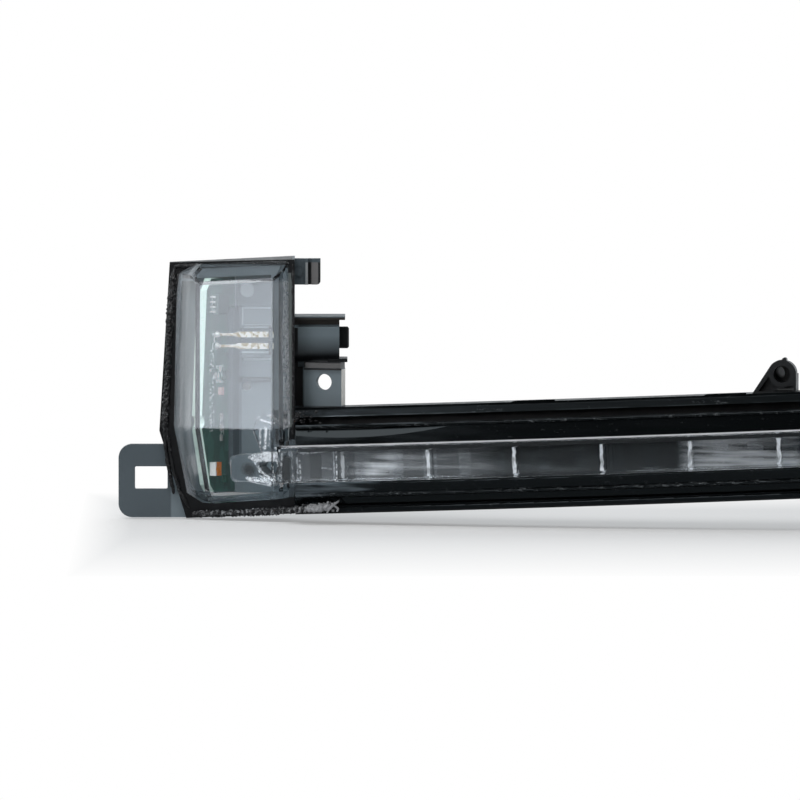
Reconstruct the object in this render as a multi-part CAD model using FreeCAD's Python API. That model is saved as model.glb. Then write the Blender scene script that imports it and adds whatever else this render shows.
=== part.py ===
import FreeCAD, Part
import math
import os

V = FreeCAD.Vector

# Frame: origin at the centre of the screw tab's hole, +X along the arm towards its closed end,
# +Y away from the lens face, +Z up. All sizes are in millimetres and degrees.

# Arm: a shallow arc in plan, seen from above, with its axis behind the lamp.
arc_centre_x = 196.0        # where the arm's face points straight out, along X
face_radius = 600.0         # radius of the black frame's face
arm_slope = 2.7             # the arm rises this much towards its closed end
arm_end_x = 172.0           # closed end
arm_top = -6.6              # top edge of the arm, before it is sloped
window_drop = 9.0           # top edge of the arm down to the window
window_height = 10.0
lower_band = 8.3            # window down to the arm's lower edge
ridge_drop = 4.5            # top edge down to the upper ridge
ridge_rise = 4.9            # lower edge up to the lower ridge
frame_depth = 9.0           # front face of the black frame back to its joint with the tray
tray_depth = 7.0            # tray behind that joint
tray_wall = 2.2
frame_wall = 2.0
tab_setback = 9.2           # the screw tab's face stands this far behind the frame's face
frame_start_x = -7.4
end_spare = 5.0             # length added before a slanting end is cut square
step_length = 10.3          # low locating steps on the arm's top edge
step_height = 0.35
step_places = (52.5, 102.8)
sliver_end_x = 35.0         # a slim facet above the window tapers out here
sliver_foot = 1.1           # window's top edge up to the facet at the head
sliver_tip = 2.2            # and at its tip
sliver_tilt = 27.0

# Clear window bar of the arm.
bar_proud = 1.5             # how far the bar's face stands in front of the frame's face
bar_wall = 2.1
bar_side = 0.7
bar_flange = 1.2            # flange that laps behind the frame
flange_thick = 1.6
fit = 0.15                  # clearance round the bar in the frame's window
edge_round = 0.7

# Head: a faceted cup with a crease that runs round its front and its left side.
crease_z = -12.0
nose_x = -13.3              # right end of the head's front facet
nose_y = -9.2               # foremost point, on the crease
corner_x = -33.5            # where front and left facets meet, on the crease
front_yaw = 20.0
left_yaw = 64.0
rim_yaw = 25.2
chamfer_yaw = -25.0
front_rise_up = 0.125       # how far the front falls back per millimetre above the crease
front_rise_down = 0.25      # and below it
rim_rise_up = 0.095         # the same for the rim of the housing
rim_rise_down = 0.2
left_up = 3.2               # lean of the left facet above the crease, in degrees
left_down = 12.5
chamfer_tilt = 50.0
facet_top = 27.4            # at the nose
lens_top = 29.8             # at the head's left corner
top_slope = 3.7             # the lens's top edge rises this much towards the arm
facet_slope = 4.0           # and the front facet's upper edge this much
lens_right = -8.4
edge_facet = 2.2            # width of the steep strip at the lens's right edge
edge_yaw = -62.0
lens_low_band = 2.9         # height of the chamfer along the lens's foot
foot_slope = 5.5            # the foot rises this much towards the arm
lens_wall = 2.0
rim_y = -3.9                # rim of the housing at the head's right side, on the crease

# Housing behind the head.
head_left = -43.0           # at the crease
head_top_left = (-40.3, 30.4)
head_right = -7.65
head_top_right_z = 32.0
head_crease_drop = 1.4      # the outline's bend at the left lies this much below the crease
head_bottom_left_x = -36.0
head_drop = 2.1             # the head's lower left corner hangs this much below its right one
head_back = 17.5
back_wall = 2.2
side_wall = 5.85            # thick wall under the lens's right edge
left_flange = 4.3
bottom_flange = 5.0
top_flange = 4.9
lens_foot_margin = 3.8      # head's lower left corner up to the lens
seal_height = 0.7           # bead on the rim round the lens

# Bracket plate at the left.
bracket_left = -53.7
bracket_lift = 0.1          # the bracket's lower edge above the head's corner
bracket_height = 19.1
bracket_thick = 2.5
bracket_round = 3.6
slot_left = -49.4
slot_right = -40.9
slot_drop = 5.8             # bracket's top edge down to its window
slot_height = 5.9

# Screw tab, connector shroud and clip tab on the right of the head.
tab_left = -5.5
tab_right = 5.0
tab_top = 3.7
tab_thick = 2.5
tab_hole = 4.2
tab_hole_length = 1.5
tab_recess = 3.2            # radius of the relief behind the hole
ledge_height = 1.5
shroud_right = 4.0
shroud_bottom = 5.0
shroud_top = 17.0
shroud_front = 2.0
shroud_width = 12.0
shroud_wall = 1.8
shroud_round = 3.2
socket_depth = 9.4
lip_reach = 2.1
lip_thick = 0.9
brow_height = 1.8           # sunken strip under the shroud's upper lip
brow_depth = 1.1
clip_right = -0.9
clip_bottom = 25.2
clip_front = 3.5
clip_thick = 2.0
clip_groove = 0.9

# Ear near the closed end.
ear_x = 117.4
ear_z = 3.7
ear_round = 3.7
ear_thick = 2.6
ear_hole = 4.4
ear_boss = 6.0
ear_pocket = ((-6.2, -4.5), (-3.5, -0.6), (-2.4, -2.5), (0.0, -3.3), (2.8, -3.0), (2.8, -4.5))
ear_pocket_depth = 1.7
ear_ledge = (-2.4, -4.2, -3.7)      # start, low and high side of a ledge in the pocket
ear_left = 108.9
ear_setback = 9.5

# Circuit board, standing on edge in the head.
board_right_x = -23.1
board_yaw = 58.0
board_thick = 2.0
board_clear = 0.25          # board's edge to the lens's inside
board_corner = 2.2
board_top_gap = 1.5         # board's top edge to the lens's upper band
notch_size = 3.2
notch_rise = 1.4            # crease up to the middle of the board's notch
guide_rib = 1.4
rib_clear = 0.1

# Parts on the board: place is (distance from the board's back edge, height).
led_reach = 10.8            # back edge of the board to the light guide's LED
led_gap = 0.6               # LED's face to the guide's nose
side_led_place = (8.0, 4.0)
led_long = 3.5
led_wide = 2.8
led_tall = 1.9
led_window = 2.3
driver_place = (8.2, 19.9)
driver_long = 5.2
driver_wide = 5.3
driver_tall = 1.75
driver_standoff = 0.15
driver_pitch = 1.27
lead_wide = 0.42
lead_thick = 0.2
lead_reach = 1.2
leads_per_side = 4
resistor_size = (1.6, 0.8, 0.5)
resistor_places = ((6.9, -9.6), (6.9, -12.3), (6.9, -14.9), (9.6, 1.2))
capacitor_size = (2.0, 1.25, 1.0)
capacitor_places = ((7.4, -2.9), (4.8, 8.0), (5.4, -25.6))
diode_place = (5.2, 1.2)
diode_size = (2.7, 1.6, 1.1)

# Terminals from the socket to the board.
terminal_y = 8.0
terminal_z = (11.9, 8.9)
terminal_wide = 1.5
terminal_thick = 0.64
terminal_neck = 0.7
pin_reach = 4.2
neck_start_x = -22.0
pin_through = 1.0
solder_round = 0.95
solder_tall = 0.9
seal_thick = 0.7
seal_margin = 2.2
keeper_reach = 2.5
keeper_thick = 1.8
keeper_height = 5.6

# Light guide and its carrier.
guide_depth = 6.0
guide_clear = 0.1           # guide's front face behind the clear bar's flange
guide_top_gap = 2.2         # window's top edge down to the guide
guide_low_gap = 0.5         # guide down to the window's lower edge
guide_end_x = 166.5
rib_pitch = 23.25
first_rib_x = 3.8
rib_wide = 1.4
rib_proud = 2.5
coupler_start_x = -10.3
nose_length = 6.6
nose_round = 2.4
skirt_thick = 4.4
leaf_thick = 2.2
leaf_tall = 9.8
leaf_room = 0.7
leaf_pocket_back = 7.0
way_room = 1.4              # passage above and below the window in the head's wall
eye_round = 0.9
collar_room = 0.6
carrier_web = 1.5
carrier_leg = 1.9
carrier_clear = 0.1

# Ribs across the arm's back and sunken panels in the head's back.
back_rib_proud = 0.9
back_rib_wide = 1.3
panel_depth = 0.6
panel_sides = (-34.5, -12.0)
panel_heights = ((6.0, 24.0), (-28.5, -10.0))
panel_round = 2.0

# Housing's inside relief and the vent.
relief = 0.6
disc_round = 1.8
disc_place = (-19.8, 23.1)
vent_round = 4.5
vent_place = (-20.0, -2.0)
vent_thick = 0.3

# Values that follow from the sizes above.
tab_radius = face_radius - tab_setback
arc_centre_y = math.sqrt(tab_radius ** 2 - arc_centre_x ** 2)
arm_height = window_drop + window_height + lower_band
arm_bottom = arm_top - arm_height
arm_rise = math.tan(math.radians(arm_slope))
joint_radius = face_radius - frame_depth
back_radius = joint_radius - tray_depth
tray_inside = back_radius + tray_wall
window_top = arm_top - window_drop
window_bottom = window_top - window_height
bar_radius = face_radius + bar_proud
flange_front = face_radius - frame_wall
flange_back = flange_front - flange_thick
guide_front = flange_back - guide_clear
guide_back = guide_front - guide_depth
guide_top = window_top - guide_top_gap
guide_bottom = window_bottom + guide_low_gap
guide_height = guide_top - guide_bottom
guide_middle = (guide_top + guide_bottom) / 2
rib_low = window_bottom + fit + bar_side + guide_clear
back_inside = head_back - back_wall
cavity_right = head_right - side_wall
head_top_right = (head_right, head_top_right_z)
head_bottom_right = (head_right, arm_bottom + head_right * arm_rise)
head_bottom_left = (head_bottom_left_x, head_bottom_right[1] - head_drop)
lens_bottom = head_bottom_left[1] + lens_foot_margin
facet_bottom = lens_bottom + lens_low_band
bracket_bottom = head_bottom_left[1] + bracket_lift
bracket_top = bracket_bottom + bracket_height
slot_top = bracket_top - slot_drop
slot_bottom = slot_top - slot_height
board_top = facet_top - board_top_gap
foot_rise = (board_right_x - head_bottom_left_x) * math.tan(math.radians(foot_slope))
board_bottom = lens_bottom + foot_rise + lens_wall + board_clear
board_crease = crease_z + notch_rise
rib_count = 1 + int((guide_end_x - first_rib_x - rib_wide) / rib_pitch)
back_rib_count = int((arm_end_x - first_rib_x) / rib_pitch) - 1
far = 400.0


def lean(shape):
    """Slopes a shape with the arm."""
    turned = shape.copy()
    turned.rotate(V(0, 0, 0), V(0, 1, 0), -arm_slope)
    return turned


def arm_angle(x, radius=face_radius):
    """How far the arm's face is turned from X at this place along it."""
    return math.degrees(math.asin((arc_centre_x - x) / radius))


def arm_point(radius, angle, z=0.0):
    a = math.radians(angle)
    return V(arc_centre_x - radius * math.sin(a), arc_centre_y - radius * math.cos(a), z)


def rounded_wire(points):
    """Closed wire through 3-D points; a point given with a radius gets a tangent arc."""
    edges = []
    n = len(points)
    ends = []
    for i, (p, r) in enumerate(points):
        if not r:
            ends.append((p, None, p))
            continue
        a = (points[i - 1][0] - p).normalize()
        b = (points[(i + 1) % n][0] - p).normalize()
        half = a.getAngle(b) / 2
        back = r / math.tan(half)
        middle = (a + b).normalize()
        start = p + a * back
        stop = p + b * back
        top = p + middle * (r / math.sin(half) - r)
        ends.append((start, top, stop))
    for i in range(n):
        start, top, stop = ends[i]
        if top is not None:
            edges.append(Part.Arc(start, top, stop).toShape())
        following = ends[(i + 1) % n][0]
        if stop.distanceToPoint(following) > 1e-6:
            edges.append(Part.LineSegment(stop, following).toShape())
    return Part.Wire(edges)


def arm_band(section, x_from, x_to):
    """Sweeps a section of (radius, height[, rounding]) along the arm's arc."""
    start = arm_angle(x_from)
    points = [(arm_point(p[0], start, p[1]), p[2] if len(p) > 2 else 0) for p in section]
    face = Part.Face(rounded_wire(points))
    axis_at = V(arc_centre_x, arc_centre_y, 0)
    return face.revolve(axis_at, V(0, 0, 1), start - arm_angle(x_to))


def arm_box(r_low, r_high, z_low, z_high, x_from, x_to):
    section = [(r_low, z_low), (r_high, z_low), (r_high, z_high), (r_low, z_high)]
    return arm_band(section, x_from, x_to)


def box(x0, x1, y0, y1, z0, z1):
    return Part.makeBox(x1 - x0, y1 - y0, z1 - z0, V(x0, y0, z0))


def plate_xz(points, y0, y1):
    """Extrudes an outline of (x, z[, rounding]) along Y."""
    corners = [(V(p[0], y0, p[1]), p[2] if len(p) > 2 else 0) for p in points]
    return Part.Face(rounded_wire(corners)).extrude(V(0, y1 - y0, 0))


def facing(yaw, tilt):
    """Unit vector of a face turned left by yaw and leaning up by tilt."""
    a = math.radians(yaw)
    t = math.radians(tilt)
    return V(-math.sin(a) * math.cos(t), -math.cos(a) * math.cos(t), math.sin(t))


def beyond(point, normal):
    """Everything on the outer side of a plane, as a large block."""
    block = Part.makeBox(far, far, far, V(-far / 2, -far / 2, 0))
    block.Placement = FreeCAD.Placement(point, FreeCAD.Rotation(V(0, 0, 1), normal))
    return block


def lean_for(yaw, rise):
    """Lean of a face turned by yaw whose profile, at one X, falls back by rise."""
    return math.degrees(math.atan(rise * math.cos(math.radians(yaw))))


def plane_y(point, normal, x, z):
    """Y of a plane at a given X and Z."""
    return point.y - (normal.x * (x - point.x) + normal.z * (z - point.z)) / normal.y


def lens_planes():
    """Point and outward direction of each facet of the head's lens."""
    nose = V(nose_x, nose_y, crease_z)
    run = (nose_x - corner_x) * math.tan(math.radians(front_yaw))
    corner = V(corner_x, nose_y + run, crease_z)
    edge_x = lens_right - edge_facet
    edge = V(edge_x, plane_y(nose, facing(chamfer_yaw, 0), edge_x, crease_z), crease_z)
    planes = []
    for rise in (front_rise_up, -front_rise_down):
        planes.append((nose, facing(front_yaw, lean_for(front_yaw, rise))))
        planes.append((nose, facing(chamfer_yaw, lean_for(chamfer_yaw, rise))))
        planes.append((edge, facing(edge_yaw, lean_for(edge_yaw, rise))))
    planes.append((corner, facing(left_yaw, left_up)))
    planes.append((corner, facing(left_yaw, -left_down)))
    for z, rise, left_lean in ((facet_top, front_rise_up, left_up),
                               (facet_bottom, -front_rise_down, -left_down)):
        tilt = chamfer_tilt if rise > 0 else -chamfer_tilt
        front = facing(front_yaw, lean_for(front_yaw, rise))
        left = facing(left_yaw, left_lean)
        band = facing(front_yaw, tilt)
        if rise > 0:
            band = FreeCAD.Rotation(front, facet_slope).multVec(band)
        planes.append((V(nose_x, plane_y(nose, front, nose_x, z), z), band))
        planes.append((V(corner_x, plane_y(corner, left, corner_x, z), z), facing(left_yaw, tilt)))
    top = math.radians(top_slope)
    foot = math.radians(foot_slope)
    planes.append((V(head_top_left[0], 0, lens_top), V(-math.sin(top), 0, math.cos(top))))
    planes.append((V(head_bottom_left[0], 0, lens_bottom), V(math.sin(foot), 0, -math.cos(foot))))
    planes.append((V(lens_right, 0, 0), V(1, 0, 0)))
    return planes


def lens_block(inset=0.0):
    """The head lens's outer form, or its inside when inset by the wall."""
    block = box(-60, 0, -20, 40, -45, 45)
    for point, normal in lens_planes():
        block = block.cut(beyond(point - normal * inset, normal))
    return block


def behind_rim(lift=0.0):
    """Everything behind the housing's rim, or behind a surface that lies lift in front of it."""
    at = V(lens_right, rim_y, crease_z)
    block = box(-70, 20, -40, 60, -60, 60)
    for rise in (rim_rise_up, -rim_rise_down):
        normal = facing(rim_yaw, lean_for(rim_yaw, rise))
        block = block.cut(beyond(at + normal * lift, normal))
    return block


def head_outline(inset=False):
    left = left_flange if inset else 0
    right = side_wall if inset else 0
    top = top_flange if inset else 0
    low = bottom_flange if inset else 0
    return [
        (head_top_left[0] + left, head_top_left[1] - top),
        (head_top_right[0] - right, head_top_right[1] - top),
        (head_bottom_right[0] - right, head_bottom_right[1] + low),
        (head_bottom_left[0] + left, head_bottom_left[1] + low),
        (head_left + left, crease_z - head_crease_drop),
    ]


def board_frame(shape):
    """Moves a shape drawn as (height, distance from the back edge, height off the face)."""
    a = math.radians(board_yaw)
    matrix = FreeCAD.Matrix(
        0, -math.cos(a), math.sin(a), board_right_x,
        0, -math.sin(a), -math.cos(a), back_inside,
        1, 0, 0, 0,
        0, 0, 0, 1,
    )
    moved = shape.copy()
    moved.Placement = FreeCAD.Placement(matrix).multiply(moved.Placement)
    return moved


def on_board(place, size, lift=0.0, back=False):
    """A block centred on a place of the board's face, as long in height as size[0]."""
    z0 = -board_thick - lift - size[2] if back else lift
    corner = V(place[1] - size[0] / 2, place[0] - size[1] / 2, z0)
    return Part.makeBox(size[0], size[1], size[2], corner)


def frame_section():
    """Outer section of the black frame: ledge, groove, ridge and chamfer, then the lower ribs."""
    f = face_radius
    t = arm_top
    b = arm_bottom
    upper = t - ridge_drop
    lower = b + ridge_rise
    return [
        (joint_radius, t),
        (f - 2.6, t, 0.4),
        (f - 2.2, upper + 0.5),
        (f - 1.0, upper + 0.2, 0.2),
        (f - 1.0, upper - 0.3, 0.2),
        (f - 1.5, upper - 0.6),
        (f - 0.5, window_top),
        (f - 0.5, window_bottom),
        (f - 0.1, window_bottom - 0.4, 0.2),
        (f - 0.9, lower + 0.5),
        (f - 0.2, lower + 0.2, 0.2),
        (f - 0.2, lower - 0.3, 0.2),
        (f - 1.6, lower - 0.7),
        (f - 2.2, b + 1.9),
        (f - 1.6, b + 1.5, 0.2),
        (f - 1.8, b + 0.5, 0.2),
        (f - 2.6, b, 0.2),
        (joint_radius, b),
    ]


def sliver_cut():
    """Everything in front of a slim facet above the window, which tapers out along the arm."""
    foot = window_top + sliver_foot
    tip = window_top + sliver_tip
    start = arm_point(face_radius - 0.5, arm_angle(frame_start_x), foot)
    end = arm_point(face_radius - 0.5, arm_angle(sliver_end_x), tip)
    run = (end - start).normalize()
    outward = facing(arm_angle((frame_start_x + sliver_end_x) / 2), sliver_tilt)
    normal = run.cross(outward).cross(run).normalize()
    length = sliver_end_x - frame_start_x
    block = beyond(start, normal)
    top = arm_top - ridge_drop - 0.6
    zone = arm_box(face_radius - 3.2, face_radius + 1, foot, top, frame_start_x - 4,
                   frame_start_x + length)
    return block.common(zone)


def black_frame():
    """Black frame of the arm: a channel with a window, closed at its far end."""
    frame = arm_band(frame_section(), frame_start_x - end_spare, arm_end_x)
    inside = arm_box(
        joint_radius - 1, flange_front, arm_bottom + frame_wall, arm_top - frame_wall,
        frame_start_x - end_spare - 2, arm_end_x - frame_wall,
    )
    window = arm_box(
        flange_front - 1, face_radius + 2, window_bottom, window_top,
        frame_start_x - end_spare - 2, arm_end_x - frame_wall - bar_flange,
    )
    frame = frame.cut(inside).cut(window).cut(sliver_cut())
    for x in step_places:
        step = arm_box(
            joint_radius, face_radius - 3.2, arm_top - 0.5, arm_top + step_height,
            x - step_length / 2, x + step_length / 2,
        )
        frame = frame.fuse(step)
    return lean(frame).cut(box(-60, frame_start_x, -40, 40, -60, 20)).removeSplitter()


def window_bar():
    """Clear bar of the arm: a channel with a flange that laps behind the black frame."""
    top = window_top - fit
    low = window_bottom + fit
    end_x = arm_end_x - frame_wall - bar_flange - fit
    section = [
        (flange_back, top + bar_flange),
        (flange_front, top + bar_flange),
        (flange_front, top),
        (bar_radius, top, edge_round),
        (bar_radius, low, edge_round),
        (flange_front, low),
        (flange_front, low - bar_flange),
        (flange_back, low - bar_flange),
    ]
    start_x = lens_right - edge_facet - 2.6
    bar = arm_band(section, start_x, end_x)
    hollow = arm_box(
        flange_back - 1, bar_radius - bar_wall, low + bar_side, top - bar_side,
        start_x - 2, end_x - bar_side,
    )
    return lean(bar.cut(hollow))


def clear_lens():
    """One clear moulding: the faceted head and the arm's window bar."""
    shell = lens_block().cut(behind_rim())
    shell = shell.cut(lens_block(lens_wall))
    passage = arm_box(
        tray_inside, bar_radius - bar_wall, window_bottom + fit + bar_side,
        window_top - fit - bar_side, cavity_right - 6, lens_right + 4,
    )
    shell = shell.cut(lean(passage)).cut(guide_passage())
    return shell.fuse(window_bar().cut(guide_passage())).removeSplitter()


def guide_passage():
    """Room for the guide's collar in the lens's right side."""
    return lean(arm_box(
        tray_inside, guide_front + collar_room, guide_bottom - collar_room,
        guide_top + collar_room, cavity_right - 6, frame_start_x,
    ))


def arm_tray():
    outer = arm_box(back_radius, joint_radius, arm_bottom, arm_top,
                    frame_start_x - end_spare - 2, arm_end_x)
    return lean(outer).cut(box(-60, cavity_right + 1, -40, 40, -60, 20))


def arm_hollow():
    hollow = arm_box(
        tray_inside, joint_radius + 1, arm_bottom + tray_wall, arm_top - tray_wall,
        frame_start_x - end_spare - 3, arm_end_x - tray_wall,
    )
    return lean(hollow)


def screw_tab():
    """Plate with the screw hole, turned with the arm, and the ledge above it."""
    turn = arm_angle(0, tab_radius)
    low = arm_top - 1.5
    outline = [(tab_left, low), (tab_right, low), (tab_right, tab_top), (tab_left, tab_top)]
    plate = plate_xz(outline, 0, tab_thick)
    ledge = box(tab_left + 0.8, tab_right, -1.2, shroud_front + 0.2, tab_top, tab_top + ledge_height)
    hole = Part.makeCylinder(tab_hole / 2, 20, V(0, -10, 0), V(0, 1, 0))
    recess = Part.makeCylinder(tab_recess, 4, V(0, tab_hole_length, 0), V(0, 1, 0))
    tab = plate.cut(recess).fuse(ledge).cut(hole)
    tab.rotate(V(0, 0, 0), V(0, 0, 1), -turn)
    web = box(head_top_right[0] - 1, tab_left + 2.5, 6.0, 8.0, arm_top - 1, shroud_bottom + 1)
    return tab.fuse(web)


def shroud():
    """Connector shroud: a rounded box with its mouth towards +X, between two lips."""
    back = shroud_front + shroud_width
    left = head_top_right[0] - 1
    corners = [
        (V(left, shroud_front, shroud_top), 0.6),
        (V(left, back, shroud_top), 1.0),
        (V(left, back, shroud_bottom), 1.0),
        (V(left, shroud_front, shroud_bottom), shroud_round),
    ]
    body = Part.Face(rounded_wire(corners)).extrude(V(shroud_right - left, 0, 0))
    top_lip = box(left, shroud_right + lip_reach - 0.6, shroud_front - 0.8, back,
                  shroud_top - lip_thick, shroud_top)
    low_lip = box(shroud_right - 3, shroud_right + lip_reach, shroud_front + 1, back - 1,
                  shroud_bottom, shroud_bottom + lip_thick)
    brow_top = shroud_top - lip_thick
    brow = box(left + 2, shroud_right + 1, shroud_front - 1, shroud_front + brow_depth,
               brow_top - brow_height, brow_top)
    return body.cut(brow).fuse(top_lip).fuse(low_lip)


def socket():
    back = shroud_front + shroud_width
    return box(
        shroud_right - socket_depth, shroud_right + 10,
        shroud_front + shroud_wall, back - shroud_wall,
        shroud_bottom + shroud_wall, shroud_top - shroud_wall,
    )


def clip_tab():
    left = head_top_right[0] - 1
    top = head_top_right[1]
    tab = plate_xz(
        [(left, top), (clip_right, top), (clip_right, clip_bottom, 1.0), (left, clip_bottom)],
        clip_front, clip_front + clip_thick,
    )
    ridge = box(-5.0, -4.1, clip_front - 0.7, clip_front + 1, clip_bottom, top)
    groove = box(-4.1, -4.1 + clip_groove, clip_front - 1, clip_front + 0.7, clip_bottom - 1, top + 1)
    nub = Part.makeCylinder(1.1, 1.6, V(-6.6, clip_front - 0.6, 28.6), V(0, 1, 0))
    return tab.fuse(ridge).cut(groove).fuse(nub)


def ear():
    """Rounded ear with a blind boss, on the arm's top edge near its closed end."""
    turn = arm_angle(ear_x)
    run = ear_x - ear_left
    rise = ear_z - (arm_top + ear_x * math.sin(math.radians(arm_slope)))
    slant = math.atan2(run - ear_round, rise) * 0.86
    left = (-ear_round * math.cos(slant), ear_round * math.sin(slant))
    foot = (-run, -rise - 1.5)
    arc_mid = V(-ear_round * math.cos(math.radians(100)), 0, ear_round * math.sin(math.radians(80)))
    a = V(foot[0], 0, foot[1])
    b = V(left[0], 0, left[1])
    c = V(ear_round, 0, 0)
    d = V(ear_round, 0, foot[1])
    wire = Part.Wire([
        Part.LineSegment(a, b).toShape(),
        Part.Arc(b, arc_mid, c).toShape(),
        Part.LineSegment(c, d).toShape(),
        Part.LineSegment(d, a).toShape(),
    ])
    plate = Part.Face(wire).extrude(V(0, ear_thick, 0))
    boss = Part.makeCylinder(ear_hole / 2 + 1.2, ear_boss, V(0, 0, 0), V(0, 1, 0))
    rib = box(ear_round - 1.2, ear_round, 0, ear_boss, foot[1], 0)
    nub = Part.makeCylinder(0.6, ear_thick, V(0.6, 0, ear_round), V(0, 1, 0))
    hole = Part.makeCylinder(ear_hole / 2, ear_boss - 1.2, V(0, 0, 0), V(0, 1, 0))
    pocket = plate_xz(ear_pocket, -1, ear_pocket_depth)
    ledge = box(ear_ledge[0], ear_pocket[-1][0], 0.4, ear_thick, ear_ledge[1], ear_ledge[2])
    whole = plate.fuse(rib).fuse(nub).cut(pocket).fuse(ledge).fuse(boss).cut(hole)
    whole.rotate(V(0, 0, 0), V(0, 0, 1), -turn)
    at = arm_point(face_radius - ear_setback, arm_angle(ear_x))
    whole.translate(V(at.x, at.y, ear_z))
    return whole


def bracket():
    """Flat bracket with a window, level with the housing's back."""
    right = head_bottom_left[0] + 2
    plate = plate_xz(
        [
            (bracket_left, bracket_top, bracket_round),
            (right, bracket_top),
            (right, bracket_bottom),
            (bracket_left, bracket_bottom, bracket_round),
        ],
        head_back - bracket_thick, head_back,
    )
    return plate.cut(plate_xz(head_outline(), 0, head_back + 1))


def bracket_window():
    return plate_xz(
        [
            (slot_left, slot_top, 0.4),
            (slot_right, slot_top, 0.4),
            (slot_right, slot_bottom, 0.4),
            (slot_left, slot_bottom, 0.4),
        ],
        head_back - bracket_thick - 10, head_back + 10,
    )


def wall_relief():
    """Low steps, a disc and ribs on the inside of the housing's back wall."""
    front = back_inside - relief
    disc = Part.makeCylinder(disc_round, relief, V(disc_place[0], front, disc_place[1]), V(0, 1, 0))
    shapes = [disc]
    left = board_right_x + 2.0
    for z0, z1 in ((14.0, 19.4), (5.6, 8.0), (-1.0, -0.2)):
        shapes.append(box(left, cavity_right, front, back_inside, z0, z1))
    return shapes


def board_slot():
    """Two ribs that hold the board's back edge."""
    ribs = []
    deep = 3.2
    for offset in (rib_clear, -board_thick - rib_clear - guide_rib):
        rib = Part.makeBox(
            board_top - board_bottom - 14, deep + 4, guide_rib, V(board_bottom + 7, -4, offset)
        )
        ribs.append(board_frame(rib).common(box(-60, 0, 0, back_inside + 0.5, -60, 60)))
    return ribs


def terminal_path(z):
    """Outline of one terminal, seen from the front, and its pin end at the board."""
    half = terminal_wide / 2
    thin = terminal_neck / 2
    board_x = board_right_x - (back_inside - terminal_y) / math.tan(math.radians(board_yaw))
    end = board_x - pin_through - board_thick
    start = shroud_right - socket_depth + pin_reach
    return [
        (start, z + half, 0.4),
        (start, z - half, 0.4),
        (neck_start_x, z - half),
        (neck_start_x - 1.2, z - thin),
        (end, z - thin),
        (end, z + thin),
        (neck_start_x - 1.2, z + thin),
        (neck_start_x, z + half),
    ]


def terminal(z):
    y0 = terminal_y - terminal_thick / 2
    return plate_xz(terminal_path(z), y0, y0 + terminal_thick)


def terminal_slots():
    """Room for the terminals in the walls that they pass."""
    slots = []
    for z in terminal_z:
        half = terminal_wide / 2 + 0.1
        deep = terminal_thick / 2 + 0.1
        slots.append(box(cavity_right - 1, shroud_right, terminal_y - deep, terminal_y + deep,
                         z - half, z + half))
    return slots


def back_ribs():
    """Low ribs across the arm's back, each halfway between two ribs of the guide."""
    ribs = []
    step = math.degrees(rib_pitch / face_radius)
    for i in range(back_rib_count):
        angle = arm_angle(first_rib_x) - (i + 1.5) * step
        x = arc_centre_x - face_radius * math.sin(math.radians(angle))
        rib = arm_box(back_radius - back_rib_proud, back_radius + 0.5, arm_bottom + tray_wall,
                      arm_top - tray_wall, x - back_rib_wide / 2, x + back_rib_wide / 2)
        ribs.append(lean(rib))
    return ribs


def back_panels():
    """Sunken panels in the head's back, above and below the vent."""
    left, right = panel_sides
    panels = []
    for low, high in panel_heights:
        outline = [(left, high), (right, high), (right, low), (left, low)]
        corners = [(x, z, panel_round) for x, z in outline]
        panels.append(plate_xz(corners, head_back - panel_depth, head_back + 1))
    return panels


def guide_way():
    """Room for the guide and the clear bar through the head's right wall."""
    return lean(arm_box(
        tray_inside, face_radius + 4, window_bottom - way_room, window_top + way_room,
        cavity_right - 6, frame_start_x + 2,
    ))


def leaf_pocket():
    """Pocket in the head's right wall beside the guide's leaf."""
    return box(cavity_right - 1, lens_right - 1.4, -20, leaf_pocket_back,
               window_top - 1, guide_top + leaf_tall + leaf_room)


def housing():
    """One black moulding: head pan, arm tray, bracket, shroud and tabs."""
    pan = plate_xz(head_outline(), -20, head_back).common(behind_rim())
    cavity = plate_xz(head_outline(inset=True), -30, back_inside)
    body = pan.cut(cavity)
    for piece in wall_relief() + board_slot():
        body = body.fuse(piece)
    body = body.cut(guide_way()).cut(leaf_pocket())
    body = body.fuse(arm_tray().cut(arm_hollow()))
    for piece in [bracket(), shroud(), screw_tab(), clip_tab(), ear()] + back_ribs():
        body = body.fuse(piece)
    vent_seat = Part.makeCylinder(
        vent_round + 0.3, vent_thick, V(vent_place[0], head_back - vent_thick, vent_place[1]), V(0, 1, 0)
    )
    vent_hole = Part.makeCylinder(
        1.2, back_wall + 2, V(vent_place[0], back_inside - 1, vent_place[1]), V(0, 1, 0)
    )
    tab_bore = Part.makeCylinder(tab_hole / 2, 30, V(0, -15, 0), V(0, 1, 0))
    tab_bore.rotate(V(0, 0, 0), V(0, 0, 1), -arm_angle(0, tab_radius))
    openings = [socket(), bracket_window(), vent_seat, vent_hole, tab_bore]
    for piece in openings + terminal_slots() + back_panels():
        body = body.cut(piece)
    return body.removeSplitter()


def sealant_bead():
    """Bead on the housing's rim, round the foot of the lens."""
    strip = plate_xz(head_outline(), -20, head_back).common(behind_rim(seal_height))
    strip = strip.cut(behind_rim()).cut(lens_block())
    return strip.cut(guide_way()).cut(leaf_pocket())


def board_reach(z):
    """How far the board may reach from its back edge at a height, clear of the lens."""
    a = math.radians(board_yaw)
    run = V(-math.cos(a), -math.sin(a), 0)
    reach = []
    for point, normal in lens_planes():
        along = normal.dot(run)
        for lift in (0, -board_thick):
            start = V(board_right_x + math.sin(a) * lift, back_inside - math.cos(a) * lift, z)
            room = normal.dot(point - start) - lens_wall - board_clear
            if along > 0.3:
                reach.append(room / along)
    return min(reach)


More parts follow.
